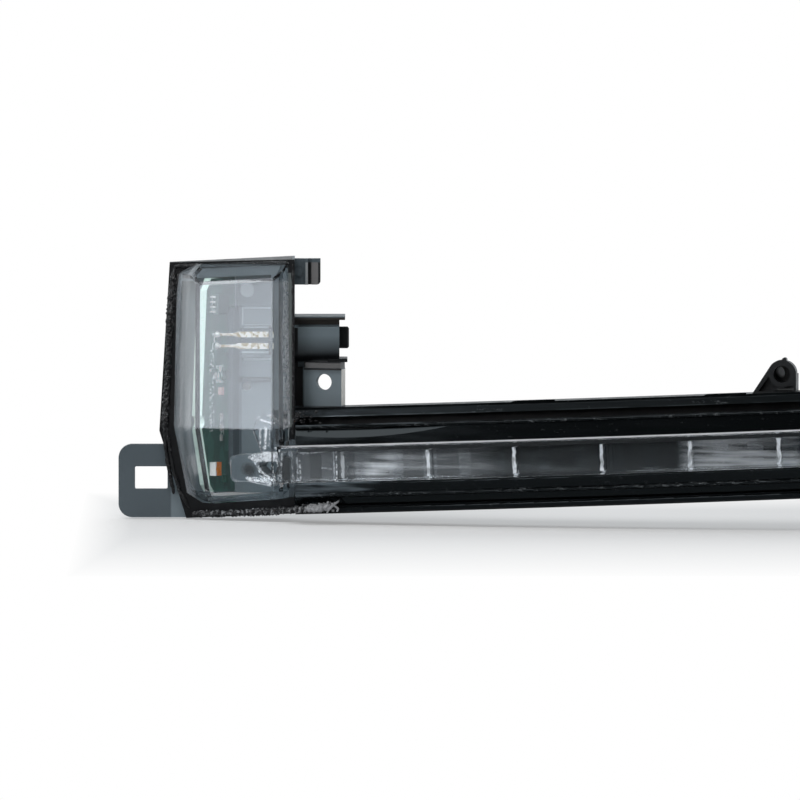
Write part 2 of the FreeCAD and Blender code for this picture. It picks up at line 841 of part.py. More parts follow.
def circuit_board():
    """Board with a bent left edge that follows the lens, and a notch at the crease."""
    top = board_reach(board_top - board_corner)
    middle = min(board_reach(board_crease), board_reach(crease_z))
    low = board_reach(board_bottom + board_corner)
    top_corner = min(top - board_corner, board_reach(board_top))
    low_corner = min(low - board_corner, board_reach(board_bottom))
    outline = [
        (board_bottom, -2.0),
        (board_top, -2.0),
        (board_top, top_corner),
        (board_top - board_corner, top),
        (board_crease + notch_size / 2, middle),
        (board_crease - notch_size / 2, middle),
        (board_bottom + board_corner, low),
        (board_bottom, low_corner),
    ]
    corners = [(V(p[0], p[1], -board_thick), 0) for p in outline]
    board = Part.Face(rounded_wire(corners)).extrude(V(0, 0, board_thick))
    notch = Part.makeCylinder(notch_size / 2, 10, V(board_crease, middle + 0.4, -5))
    board = board_frame(board.cut(notch))
    board = board.common(box(-60, 0, -40, back_inside, -60, 60))
    for z in terminal_z:
        board = board.cut(terminal_hole(z))
    return board


def terminal_hole(z):
    """Round hole in the board for a terminal's pin."""
    board_x = board_right_x - (back_inside - terminal_y) / math.tan(math.radians(board_yaw))
    return Part.makeCylinder(terminal_neck / 2 + 0.25, 8, V(board_x - 4, terminal_y, z), V(1, 0, 0))


def led_package(place, back):
    body = on_board(place, (led_long, led_wide, led_tall), 0, back)
    depth = 0.8
    z0 = -board_thick - led_tall if back else led_tall - depth
    cup = Part.makeCylinder(led_window / 2, depth, V(place[1], place[0], z0))
    return board_frame(body.cut(cup))


def led_filling(place, back):
    depth = 0.8
    z0 = -board_thick - led_tall if back else led_tall - depth
    return board_frame(Part.makeCylinder(led_window / 2, depth, V(place[1], place[0], z0)))


def driver_chip():
    body = on_board(driver_place, (driver_long, driver_wide, driver_tall), driver_standoff)
    dot = Part.makeCylinder(0.4, 0.2, V(driver_place[1] + 1.8, driver_place[0] + 1.8,
                                        driver_standoff + driver_tall - 0.1))
    edges = [e for e in body.Edges if e.BoundBox.ZMin > driver_tall]
    body = body.makeChamfer(0.25, edges)
    return board_frame(body.cut(dot))


def driver_leads():
    """Gull-wing leads on both sides of the driver chip."""
    leads = []
    half = driver_wide / 2
    shoulder = driver_standoff + driver_tall * 0.45
    for side in (-1, 1):
        for i in range(leads_per_side):
            at = driver_place[1] + (i - (leads_per_side - 1) / 2) * driver_pitch
            y = driver_place[0] + side * half
            points = [
                V(at, y, shoulder + lead_thick),
                V(at, y + side * 0.45, shoulder + lead_thick),
                V(at, y + side * 0.7, lead_thick),
                V(at, y + side * lead_reach, lead_thick),
                V(at, y + side * lead_reach, 0),
                V(at, y + side * 0.52, 0),
                V(at, y + side * 0.28, shoulder),
                V(at, y, shoulder),
            ]
            wire = Part.makePolygon(points + [points[0]])
            solid = Part.Face(wire).extrude(V(lead_wide, 0, 0))
            solid.translate(V(-lead_wide / 2, 0, 0))
            leads.append(board_frame(solid))
    return Part.makeCompound(leads)


def chip_group(places, size):
    return Part.makeCompound([board_frame(on_board(place, size)) for place in places])


def solder_joints():
    """Cones of solder round the terminals' pins on the board's face."""
    joints = []
    board_x = board_right_x - (back_inside - terminal_y) / math.tan(math.radians(board_yaw))
    s = (board_right_x - board_x) / math.cos(math.radians(board_yaw))
    for z in terminal_z:
        cone = Part.makeCone(solder_round, terminal_neck / 2 + 0.15, solder_tall, V(z, s, 0))
        joints.append(board_frame(cone).cut(terminal(z)))
    return Part.makeCompound(joints)


def terminal_seal():
    """Block of potting round the terminals where they enter the head."""
    z_high = max(terminal_z) + seal_margin
    z_low = min(terminal_z) - seal_margin
    block = box(cavity_right - seal_thick, cavity_right, terminal_y - seal_margin,
                terminal_y + seal_margin, z_low, z_high)
    for z in terminal_z:
        block = block.cut(terminal(z))
    return block


def connector_keeper():
    """Black locking tongue along the back of the socket."""
    back = shroud_front + shroud_width - shroud_wall
    middle = (shroud_bottom + shroud_top) / 2
    tongue = box(shroud_right - 6, shroud_right + keeper_reach, back - keeper_thick, back,
                 middle - keeper_height / 2, middle + keeper_height / 2)
    edges = [e for e in tongue.Edges if e.BoundBox.XMin > shroud_right + keeper_reach - 0.1]
    return tongue.makeChamfer(0.4, edges)


def coupler_frame(shape):
    """Moves a shape drawn as (run to the left, outwards, height) to the guide's head end."""
    angle = arm_angle(coupler_start_x)
    a = math.radians(angle)
    at = arm_point((guide_front + guide_back) / 2, angle)
    matrix = FreeCAD.Matrix(
        -math.cos(a), -math.sin(a), 0, at.x,
        math.sin(a), -math.cos(a), 0, at.y,
        0, 0, 1, 0,
        0, 0, 0, 1,
    )
    moved = shape.copy()
    moved.Placement = FreeCAD.Placement(matrix).multiply(moved.Placement)
    return moved


def coupler():
    """Input end of the guide: stub, bullet nose, air pocket, leaf and collar ridges."""
    half = guide_depth / 2
    length = coupler_run()
    top = guide_top
    low = guide_bottom
    middle = guide_middle
    stub = box(-0.5, length - nose_length, -half, half, low, top)
    nose_half = guide_height / 2 - 0.15
    nose = box(length - nose_length, length, -half, half, middle - nose_half, middle + nose_half)
    ends = [e for e in nose.Edges if e.BoundBox.XMin > length - 0.1]
    nose = nose.makeFillet(nose_round, ends)
    pocket_points = [
        (3.9, middle + 0.6), (5.2, middle + 1.7), (8.6, middle + 1.4),
        (9.4, middle + 0.2), (7.6, middle - 1.8), (4.8, middle - 1.8),
    ]
    pocket = Part.Face(rounded_wire([(V(u, -half - 1, z), 0.3) for u, z in pocket_points]))
    pocket = pocket.extrude(V(0, guide_depth + 2, 0))
    skirt_points = [(12.4, low), (6.6, low - 1.3), (6.0, low), (6.0, low + 0.5), (12.4, low + 0.5)]
    skirt = Part.Face(rounded_wire([(V(u, -skirt_thick / 2, z), 0) for u, z in skirt_points]))
    skirt = skirt.extrude(V(0, skirt_thick, 0))
    leaf_points = [
        (4.9, top - 0.5, 0), (4.4, top + 6.4, 2.2), (6.4, top + leaf_tall, 1.6),
        (10.0, top + leaf_tall - 0.4, 1.6), (11.3, top + 6.0, 2.2), (8.8, top - 0.5, 0),
    ]
    leaf = Part.Face(rounded_wire([(V(u, -leaf_thick / 2, z), r) for u, z, r in leaf_points]))
    leaf = leaf.extrude(V(0, leaf_thick, 0))
    eye = Part.makeCylinder(eye_round, 6, V(3.2, -3, low + 1.5), V(0, 1, 0))
    body = stub.fuse(nose).cut(pocket).cut(eye).fuse(skirt).fuse(leaf)
    for u in (0.6, 2.4):
        ridge = box(u, u + 0.6, -half - 0.35, half + 0.35, low - 0.35, top + 0.35)
        body = body.fuse(ridge)
    return lean(coupler_frame(body))


def coupler_run():
    """Length of the guide's head end, up to the LED's face less the gap."""
    a = math.radians(board_yaw)
    outward = V(math.sin(a), -math.cos(a), 0)
    led_face = V(board_right_x - math.cos(a) * led_reach, back_inside - math.sin(a) * led_reach, 0)
    led_face = led_face + outward * led_tall
    angle = arm_angle(coupler_start_x)
    b = math.radians(angle)
    start = arm_point((guide_front + guide_back) / 2, angle)
    run = V(-math.cos(b), math.sin(b), 0)
    slack = guide_depth / 2 * math.sin(b - math.radians(90 - board_yaw))
    return ((start - led_face).dot(outward) - led_gap - abs(slack)) / -run.dot(outward)


def light_guide():
    """Long clear bar with ribs across its front and the coupler at its head end."""
    bar = arm_box(guide_back, guide_front, guide_bottom, guide_top, coupler_start_x, guide_end_x)
    step = math.degrees(rib_pitch / face_radius)
    rib_middle = [arm_angle(first_rib_x) - i * step for i in range(rib_count)]
    for angle in rib_middle:
        x = arc_centre_x - face_radius * math.sin(math.radians(angle))
        rib = arm_box(guide_front - 0.5, guide_front + rib_proud, rib_low,
                      guide_top, x - rib_wide / 2, x + rib_wide / 2)
        bar = bar.fuse(rib)
    return lean(bar).fuse(coupler()).removeSplitter()


def guide_carrier():
    """Black H-shaped rail that holds the guide along the arm."""
    start = frame_start_x + 0.3
    end = guide_end_x + 2.0
    top = guide_top + carrier_clear
    low = guide_bottom - carrier_clear
    web = arm_box(guide_back - carrier_web, guide_back, low, top, start, end)
    rail = web
    for z0, z1 in ((top, top + carrier_leg), (low - carrier_leg, low)):
        rail = rail.fuse(arm_box(tray_inside, flange_back, z0, z1, start, end))
    return lean(rail).cut(lean_clear_of_coupler())


def lean_clear_of_coupler():
    """Room for the coupler's collar ridges at the rail's head end."""
    return lean(arm_box(guide_back - 0.6, flange_back + 1, guide_bottom - 0.6, guide_top + 0.6,
                        frame_start_x - 4, coupler_start_x + 2.0))


def vent_membrane():
    return Part.makeCylinder(
        vent_round, vent_thick, V(vent_place[0], head_back - vent_thick, vent_place[1]), V(0, 1, 0)
    )


def nodes():
    led_height = guide_middle + arm_rise * (board_right_x - led_reach / 2)
    leds = (((led_reach, led_height), False), (side_led_place, True))
    return {
        "housing": housing(),
        "clear_lens": clear_lens(),
        "black_bezel": black_frame(),
        "light_guide": light_guide(),
        "guide_carrier": guide_carrier(),
        "circuit_board": circuit_board(),
        "led_packages": Part.makeCompound([led_package(p, b) for p, b in leds]),
        "led_windows": Part.makeCompound([led_filling(p, b) for p, b in leds]),
        "driver_chip": driver_chip(),
        "driver_leads": driver_leads(),
        "chip_resistors": chip_group(resistor_places, resistor_size),
        "chip_capacitors": chip_group(capacitor_places, capacitor_size),
        "protection_diode": board_frame(on_board(diode_place, diode_size)),
        "terminal_upper": terminal(terminal_z[0]),
        "terminal_lower": terminal(terminal_z[1]),
        "solder_joints": solder_joints(),
        "terminal_seal": terminal_seal(),
        "connector_keeper": connector_keeper(),
        "sealant_bead": sealant_bead(),
        "vent_membrane": vent_membrane(),
    }


os.makedirs("parts", exist_ok=True)
for name, shape in nodes().items():
    shape.exportStep(os.path.join("parts", name + ".step"))
    print(name, len(shape.Solids), shape.isValid(), round(shape.Volume, 1))
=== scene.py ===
# %% [markdown]
# # A mirror turn signal lamp
# The lamp is an L: a clear faceted head on the left and a long, slightly bent arm on the right.
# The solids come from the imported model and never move. This script gives them their finishes,
# adds the rough bead of sealant that no solid can show well, and sets camera, lamps and floor.
# It could all be modelled again here, but then looks and measurements would drift apart.

# %% Load the frame
import math
import random
import bmesh
import bpy
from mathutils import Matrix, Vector, noise


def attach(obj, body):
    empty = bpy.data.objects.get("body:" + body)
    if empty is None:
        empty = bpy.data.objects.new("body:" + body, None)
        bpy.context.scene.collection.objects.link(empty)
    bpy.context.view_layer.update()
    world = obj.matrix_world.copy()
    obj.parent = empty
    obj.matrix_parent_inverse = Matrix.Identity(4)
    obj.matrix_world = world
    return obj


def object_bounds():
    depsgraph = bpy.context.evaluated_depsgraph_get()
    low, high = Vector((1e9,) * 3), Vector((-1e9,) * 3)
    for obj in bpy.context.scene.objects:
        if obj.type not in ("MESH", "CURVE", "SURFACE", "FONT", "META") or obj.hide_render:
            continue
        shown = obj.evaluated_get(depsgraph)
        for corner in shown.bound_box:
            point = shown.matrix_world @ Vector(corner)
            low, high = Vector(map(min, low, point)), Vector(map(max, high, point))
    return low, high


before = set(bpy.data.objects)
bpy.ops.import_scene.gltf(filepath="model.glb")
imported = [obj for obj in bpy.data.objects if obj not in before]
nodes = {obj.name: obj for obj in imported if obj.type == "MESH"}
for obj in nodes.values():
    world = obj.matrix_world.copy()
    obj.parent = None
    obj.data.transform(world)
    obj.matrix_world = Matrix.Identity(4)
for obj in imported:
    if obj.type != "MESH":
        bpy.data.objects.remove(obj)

MM = 0.001
cad_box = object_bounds()
print("nodes", len(nodes), "size mm", [round(v / MM, 1) for v in cad_box[1] - cad_box[0]])

# %% [markdown]
# ## Camera
# The photograph is taken almost level from far away, so lines stay parallel. An orthographic
# camera would do that too, but a long lens at more than two metres also keeps the small
# perspective that a real one has. The picture's middle is a little right of and below the screw
# hole.

# %% Camera
PHOTO_MM_PER_PIXEL = 0.26
PHOTO_PIXELS = 800
VIEW_MIDDLE = Vector((19.8, -6.0, -4.32)) * MM
VIEW_RISE = math.radians(3.5)
LENS_MM = 900.0
SENSOR_MM = 36.0
NEAREST = 0.05
FARTHEST = 60.0

scene = bpy.context.scene
scene.view_settings.view_transform = "Standard"
camera_data = bpy.data.cameras.new("camera")
camera_data.lens = LENS_MM
camera_data.sensor_width = SENSOR_MM
camera_data.clip_start = NEAREST
camera_data.clip_end = FARTHEST
camera = bpy.data.objects.new("camera", camera_data)
scene.collection.objects.link(camera)
scene.camera = camera
frame_width = PHOTO_PIXELS * PHOTO_MM_PER_PIXEL * MM
distance = frame_width * LENS_MM / SENSOR_MM
back = Vector((0.0, -math.cos(VIEW_RISE), math.sin(VIEW_RISE)))
camera.location = VIEW_MIDDLE + back * distance
camera.rotation_mode = "QUATERNION"
camera.rotation_quaternion = (-back).to_track_quat("-Z", "Y")
print("camera distance m", round(distance, 3))

# %% [markdown]
# ## Tools for node trees
# Every finish is a tree of nodes. Pictures would be quicker to place, but a procedural tree stays
# even at any distance and needs no unwrapping. These few functions keep each tree short to read:
# an input takes either a plain value or another node's output.

# %% Node helpers
WHITE = (1.0, 1.0, 1.0, 1.0)


def feed(tree, socket, value):
    """Gives a socket a plain value, or links another node's output to it."""
    if isinstance(value, bpy.types.NodeSocket):
        tree.links.new(value, socket)
    else:
        socket.default_value = value


def node(tree, kind, **values):
    """Adds a node; a name with a capital is one of its inputs, any other a plain property."""
    made = tree.nodes.new(kind)
    for key, value in values.items():
        if key[0].isupper():
            feed(tree, made.inputs[key.replace("_", " ")], value)
        else:
            setattr(made, key, value)
    return made


def calculate(tree, operation, *values):
    """One step of arithmetic on plain values and node outputs."""
    made = node(tree, "ShaderNodeMath", operation=operation)
    for socket, value in zip(made.inputs, values):
        feed(tree, socket, value)
    return made.outputs[0]


def times(tree, first, *others):
    """Product of all values."""
    for other in others:
        first = calculate(tree, "MULTIPLY", first, other)
    return first


def largest(tree, first, *others):
    """The largest of all values."""
    for other in others:
        first = calculate(tree, "MAXIMUM", first, other)
    return first


def compare(tree, operation, first, second):
    """Dot product or distance of two vectors."""
    made = node(tree, "ShaderNodeVectorMath", operation=operation)
    feed(tree, made.inputs[0], first)
    feed(tree, made.inputs[1], second)
    return made.outputs["Value"]


def spread(tree, value, source, result):
    """Maps a stretch of a value onto another stretch, clamped."""
    made = node(tree, "ShaderNodeMapRange", Value=value, From_Min=source[0], From_Max=source[1],
                To_Min=result[0], To_Max=result[1])
    return made.outputs["Result"]


def rise(tree, value, stretch, top=1.0):
    """From nought up to a top over a stretch of a value."""
    return spread(tree, value, stretch, (0.0, top))


def fall(tree, value, stretch, top=1.0):
    """From a top down to nought over a stretch of a value."""
    return spread(tree, value, stretch, (top, 0.0))


def between(tree, value, stretch, soft):
    """One inside a stretch of a value, nought outside, with soft ends."""
    low, high = stretch
    return times(tree, rise(tree, value, (low - soft, low + soft)),
                 fall(tree, value, (high - soft, high + soft)))


# %% [markdown]
# ## Tools for finishes
# Each finish is one Principled shader with noise in its colour and roughness and a fine bump. It
# could be a single group with many inputs, but then every finish would carry all of them.

# %% Finish helpers
def grain(tree, scale, detail=3.0, stretch=(1, 1, 1), roughness=0.5):
    """Noise on Object coordinates, so that it stays on the piece in every view."""
    place = node(tree, "ShaderNodeTexCoord")
    mapping = node(tree, "ShaderNodeMapping", Vector=place.outputs["Object"], Scale=stretch)
    speckle = node(tree, "ShaderNodeTexNoise", Vector=mapping.outputs["Vector"], Scale=scale,
                   Detail=detail, Roughness=roughness)
    return speckle.outputs["Fac"]


def mixed(tree, amount, first, second):
    """Mixes two colours, each plain or from a node, by an amount."""
    mix = node(tree, "ShaderNodeMix", data_type="RGBA")
    feed(tree, mix.inputs[0], amount)
    for socket, colour in ((mix.inputs[6], first), (mix.inputs[7], second)):
        feed(tree, socket, (*colour, 1.0) if isinstance(colour, tuple) else colour)
    return mix.outputs[2]


def blended(tree, amount, first, second):
    """Mixes two shaders by an amount."""
    mix = node(tree, "ShaderNodeMixShader")
    for socket, value in zip(mix.inputs, (amount, first, second)):
        tree.links.new(value, socket)
    return mix.outputs[0]


def bumped(tree, shader, height, strength, distance_mm):
    """Gives a shader a bump from a height value."""
    bump = node(tree, "ShaderNodeBump", Height=height, Strength=strength,
                Distance=distance_mm * MM)
    tree.links.new(bump.outputs["Normal"], shader.inputs["Normal"])


def new_material(name):
    """A node material with nothing but its output; returns the material, tree and output."""
    material = bpy.data.materials.new(name)
    material.use_nodes = True
    tree = material.node_tree
    tree.nodes.clear()
    return material, tree, node(tree, "ShaderNodeOutputMaterial")


def new_finish(name, **values):
    """A material whose surface is one Principled shader; returns the material, tree and shader."""
    material, tree, output = new_material(name)
    body = node(tree, "ShaderNodeBsdfPrincipled", **values)
    tree.links.new(body.outputs[0], output.inputs["Surface"])
    return material, tree, body


def paint(material, *names):
    """Puts a material on CAD nodes."""
    for name in names:
        piece = nodes[name]
        if not piece.material_slots:
            piece.data.materials.append(material)
        for slot in piece.material_slots:
            slot.material = material
    print(material.name, "->", ", ".join(names))


# %% [markdown]
# ## Floor
# The floor is a plain pale sheet that the lamp stands over. It keeps the lamp's shadow near it and
# fades into plain white further away, as a bright sheet does in a studio picture. A curved
# backdrop could do the same, but a sheet that fades by itself leaves every other view open.

# %% Floor
FLOOR_BELOW = 0.3
FLOOR_X = (-0.34, 0.46)
FLOOR_Y = (-0.2, 0.24)
# Axis, stretch of it in metres, and how white the sheet is at the two ends of the stretch.
FLOOR_FADES = [
    ("X", (-0.064, -0.044), (1, 0)),
    ("X", (0.17, 0.36), (0, 1)),
    ("Y", (-0.2, -0.05), (0.95, 0.28)),
    ("Y", (0.02, 0.12), (0, 1)),
]
BEHIND_LAMP = (0.0, 0.02)
SHEET = (0.93, 0.935, 0.94)
SHEET_IN_REFLECTIONS = (0.4, 0.41, 0.42)

floor_z = cad_box[0].z - FLOOR_BELOW * MM
floor_mesh = bpy.data.meshes.new("floor")
shape = bmesh.new()
bmesh.ops.create_grid(shape, x_segments=1, y_segments=1, size=0.5)
floor_size = (FLOOR_X[1] - FLOOR_X[0], FLOOR_Y[1] - FLOOR_Y[0], 1)
floor_middle = (sum(FLOOR_X) / 2, sum(FLOOR_Y) / 2, floor_z)
bmesh.ops.scale(shape, verts=shape.verts, vec=floor_size)
bmesh.ops.translate(shape, verts=shape.verts, vec=floor_middle)
shape.to_mesh(floor_mesh)
shape.free()
floor = bpy.data.objects.new("floor", floor_mesh)
scene.collection.objects.link(floor)


def looked_at(tree, behind):
    """One for what the camera sees, straight or, where it lies behind, through clear plastic."""
    rays = node(tree, "ShaderNodeLightPath")
    through = times(tree, rays.outputs["Is Transmission Ray"], behind)
    return largest(tree, rays.outputs["Is Camera Ray"], through)


def fading_sheet():
    """Pale sheet that fades into plain white away from the lamp."""
    material, tree, output = new_material("pale_floor")
    rays = node(tree, "ShaderNodeLightPath")
    pale = mixed(tree, rays.outputs["Is Glossy Ray"], SHEET, SHEET_IN_REFLECTIONS)
    sheet = node(tree, "ShaderNodeBsdfDiffuse", Color=pale)
    white = node(tree, "ShaderNodeEmission", Color=WHITE)
    place = node(tree, "ShaderNodeTexCoord")
    split = node(tree, "ShaderNodeSeparateXYZ", Vector=place.outputs["Object"])
    fades = [spread(tree, split.outputs[axis], source, result)
             for axis, source, result in FLOOR_FADES]
    seen = looked_at(tree, rise(tree, split.outputs["Y"], BEHIND_LAMP))
    amount = times(tree, largest(tree, *fades), seen)
    tree.links.new(blended(tree, amount, sheet.outputs[0], white.outputs[0]),
                   output.inputs["Surface"])
    return material


floor_mesh.materials.append(fading_sheet())
print("floor height mm", round(floor_z / MM, 2))

# %% [markdown]
# ## Light all around
# A white world lights everything evenly. Towards the camera's side the world is darker, as a room
# is behind a photographer, so that polished black plastic stays black. A picture of a studio
# could light it too, but two ramps on the world's direction are enough and need no file.

# %% World
WORLD_BACK = 1.0
WORLD_FRONT = 0.05
WORLD_TOP = 0.45
FRONT_TO_BACK = (-0.35, 0.1)
SIDE_TO_TOP = (0.25, 0.85)
STUDIO_WHITE = (0.92, 0.97, 1.0, 1.0)
BEHIND = (0.0, 0.1)
LOW = (0.2, 0.4)

world = bpy.data.worlds.new("studio")
scene.world = world
world.use_nodes = True
tree = world.node_tree
tree.nodes.clear()
coordinates = node(tree, "ShaderNodeTexCoord")
split = node(tree, "ShaderNodeSeparateXYZ", Vector=coordinates.outputs["Generated"])
strength = times(tree, spread(tree, split.outputs["Y"], FRONT_TO_BACK, (WORLD_FRONT, WORLD_BACK)),
                 spread(tree, split.outputs["Z"], SIDE_TO_TOP, (1.0, WORLD_TOP)))
studio = node(tree, "ShaderNodeBackground", Color=STUDIO_WHITE, Strength=strength)
plain = node(tree, "ShaderNodeBackground", Color=WHITE, Strength=1.0)
low_behind = times(tree, rise(tree, split.outputs["Y"], BEHIND),
                   fall(tree, split.outputs["Z"], LOW))
output = node(tree, "ShaderNodeOutputWorld")
tree.links.new(blended(tree, looked_at(tree, low_behind), studio.outputs[0], plain.outputs[0]),
               output.inputs["Surface"])
print("world strength front, back, top", WORLD_FRONT, WORLD_BACK, WORLD_TOP)

# %% [markdown]
# ## Lamps
# Three soft lamps stand round the object. The large one at the left front shows as the milky veil
# on the head's upper facet, a narrow one glides along the arm, and one from above the front shapes
# the shroud. Spot lamps would give harder shadows than the photograph has.

# %% Lamps
# Azimuth left of the camera's side and elevation in degrees, distance and size in metres,
# radiance and colour.
LAMPS = {
    "veil_lamp": (41, 11, 1.4, (0.54, 0.36), 4.8, (0.95, 0.96, 1.0)),
    "arm_streak_lamp": (16.5, 10, 1.4, (0.13, 0.3), 3.0, (1, 1, 1)),
    "front_top_lamp": (26, 52, 1.6, (1.9, 0.8), 2.6, (1, 1, 1)),
}


def soft_lamp(name, azimuth, elevation, away, size, radiance, colour):
    """A rectangular lamp aimed at the object."""
    data = bpy.data.lights.new(name, "AREA")
    data.shape = "RECTANGLE"
    data.size = size[0]
    data.size_y = size[1]
    data.energy = radiance * math.pi * size[0] * size[1]
    data.color = colour
    lamp = bpy.data.objects.new(name, data)
    a = math.radians(azimuth)
    e = math.radians(elevation)
    towards = Vector((-math.sin(a) * math.cos(e), -math.cos(a) * math.cos(e), math.sin(e)))
    lamp.location = towards * away
    lamp.rotation_mode = "QUATERNION"
    lamp.rotation_quaternion = towards.to_track_quat("Z", "Y")
    lamp.visible_camera = False
    scene.collection.objects.link(lamp)
    print(name, "power", round(data.energy, 2))


for name, settings in LAMPS.items():
    soft_lamp(name, *settings)

# %% [markdown]
# ## Places on the arm
# The arm is a shallow arc in plan that also climbs towards its closed end. Several finishes belong
# to one edge or one rib of it. They could be separate pieces, but a small group that turns Object
# coordinates into the arm's own measures finds them on any piece: how far a point is from the
# arc's axis, how high it is on the arm, and how far along the arc from the first rib.

# %% Arm measures
ARC_CENTRE = (196.0, 557.35)
ARM_SLOPE = math.radians(2.7)
FACE_RADIUS = 600.0
WINDOW_TOP = -15.6
CREASE = -12.0
FIRST_RIB = 3.8
RIB_PITCH = 23.25
PATCH_SOFT = 0.08


def arm_measures():
    """Group with a point's Radius, Height, Arc, X, Y and Z, in millimetres."""
    group = bpy.data.node_groups.new("arm_measures", "ShaderNodeTree")
    for name in ("Radius", "Height", "Arc", "X", "Y", "Z"):
        group.interface.new_socket(name, in_out="OUTPUT", socket_type="NodeSocketFloat")
    place = node(group, "ShaderNodeTexCoord")
    scaled = node(group, "ShaderNodeVectorMath", operation="SCALE", Scale=1 / MM)
    group.links.new(place.outputs["Object"], scaled.inputs[0])
    point = scaled.outputs["Vector"]
    split = node(group, "ShaderNodeSeparateXYZ", Vector=point)
    along = compare(group, "DOT_PRODUCT", point, (math.cos(ARM_SLOPE), 0, math.sin(ARM_SLOPE)))
    height = compare(group, "DOT_PRODUCT", point, (-math.sin(ARM_SLOPE), 0, math.cos(ARM_SLOPE)))
    flat = node(group, "ShaderNodeCombineXYZ", X=along, Y=split.outputs["Y"])
    radius = compare(group, "DISTANCE", flat.outputs["Vector"], (*ARC_CENTRE, 0))
    beside = calculate(group, "SUBTRACT", ARC_CENTRE[0], along)
    angle = calculate(group, "ARCSINE", calculate(group, "DIVIDE", beside, radius))
    first_angle = math.asin((ARC_CENTRE[0] - FIRST_RIB) / FACE_RADIUS)
    arc = calculate(group, "MULTIPLY_ADD", angle, -FACE_RADIUS, FACE_RADIUS * first_angle)
    found = {"Radius": radius, "Height": height, "Arc": arc}
    found.update((axis, split.outputs[axis]) for axis in "XYZ")
    node(group, "NodeGroupOutput", **found)
    return group


ARM_MEASURES = arm_measures()


def measures(tree):
    """The arm's measures of the point that is shaded."""
    return node(tree, "ShaderNodeGroup", node_tree=ARM_MEASURES).outputs


def patch_of(tree, place, across, up, soft=PATCH_SOFT):
    """One on a patch between two X and two Z, in millimetres."""
    return times(tree, between(tree, place["X"], across, soft), between(tree, place["Z"], up, soft))


def away_from(tree, place, spot):
    """Distance from a spot in the X and Z plane, in millimetres."""
    flat = node(tree, "ShaderNodeCombineXYZ", X=place["X"], Z=place["Z"])
    return compare(tree, "DISTANCE", flat.outputs[0], (spot[0], 0, spot[1]))


def patches_of(tree, place, marks):
    """One on any of several patches."""
    return largest(tree, *[patch_of(tree, place, across, up) for across, up in marks])


print("arm measures", ", ".join(socket.name for socket in ARM_MEASURES.interface.items_tree))

# %% [markdown]
# ## Slate plastic
# The housing is moulded in a dark slate plastic with a fine spark-eroded grain, and it turns black
# on the arm. Its relief is in the solid. Through the veiled lens that relief would hardly show by
# light alone, so its raised steps get painted highlights and its recesses painted shade, and the
# sides get painted highlights and painted shadows where the photograph's own room lights them.

# %% Slate housing
SLATE = ((0.085, 0.11, 0.126), (0.105, 0.133, 0.152))
ARM_BLACK = (0.013, 0.015, 0.017)
SHADOW = (0.008, 0.01, 0.012)
GLINT = (0.9, 0.92, 0.94)
ARM_FROM_X = (-8.0, -6.5)
ARM_BELOW_HEIGHT = (-6.6, -6.1)
EAR_FROM_X = (100, 105)
EAR_TO_X = (126, 128)

# The inner wall behind the lens: its place, its colour, painted shade on its recesses and painted
# highlights on its steps between two X and two Z, and its disc with a painted highlight.
WALL_X = (-40, -13)
WALL_Y = (14.3, 15.6)
WALL_SLATE = (0.19, 0.235, 0.26)
WALL_RECESS_SHADE = (0.06, 0.075, 0.085)
WALL_STEP_HIGHLIGHT = (0.5, 0.56, 0.58)
WALL_RECESS_SHADE_MARKS = [((-22, -13), (8.9, 13.2)), ((-22, -13), (-1.0, 0.4))]
WALL_STEP_HIGHLIGHT_MARKS = [
    ((-21.2, -13), (18.3, 18.6)),
    ((-21.2, -20.9), (14.0, 18.6)),
    ((-21.2, -13), (14.0, 14.2)),
    ((-20.8, -13), (13.2, 13.5)),
    ((-21.2, -13), (6.6, 7.1)),
    ((-20.8, -13), (4.8, 5.3)),
    ((-23.0, -22.8), (-12, 26)),
]
WALL_DISC = (-19.8, 23.1)
WALL_DISC_EDGE = (1.8, 1.9)
WALL_DISC_HIGHLIGHT = 0.9

# Painted highlights and painted shadows on the sides: patches between two X and two Z, and their
# colour.
SIDE_PAINTED_LIGHT_AND_SHADE = {
    "shroud and tab": ((-7.9, 7.0), (-6.2, 14.7), (0.17, 0.215, 0.24)),
    "under the shroud": ((-7.9, 7.0), (5.0, 6.4), SHADOW),
    "shroud's upper lip": ((-7.9, 7.0), (14.8, 16.7), (0.03, 0.026, 0.022)),
    "tab's ledge": ((-5.2, 7.0), (3.6, 5.1), (0.11, 0.11, 0.11)),
    "under the ledge": ((-5.2, 4.6), (3.1, 3.55), (0.012, 0.013, 0.014)),
    "tab's right edge": ((4.6, 6.0), (-6.0, 3.4), (1.0, 0.98, 0.92)),
    "beside the shroud": ((-8.2, -6.8), (3.6, 14.0), (0.008, 0.009, 0.01)),
    "beside the tab": ((-8.2, -5.5), (-6.6, 3.7), (0.008, 0.009, 0.01)),
    "clip tab": ((-3.4, -1.5), (25.0, 31.0), (0.2, 0.195, 0.195)),
    "clip tab's groove": ((-4.2, -3.4), (25.0, 31.0), (0.008, 0.009, 0.01)),
    "clip tab's edge": ((-4.8, -4.2), (25.0, 31.0), (0.35, 0.37, 0.38)),
    "clip tab's end": ((-1.5, -0.8), (25.0, 31.0), (0.02, 0.022, 0.023)),
    "top of the head": ((-41.0, -8.2), (29.7, 33.0), (0.02, 0.022, 0.025)),
    "foot of the ear": ((117.5, 121.7), (-0.4, 0.2), (0.07, 0.075, 0.075)),
}
SHROUD_X = (-7.9, 7.0)
SHROUD_Z = (5.0, 14.7)
SHROUD_DARKENS = (6.6, 12.0)
EAR_POCKET = (117.4, 3.7)
EAR_POCKET_EDGE = (2.1, 2.15)
EAR_GLINT = (118.9, 4.2)
EAR_GLINT_FADES = (0.9, 1.7)


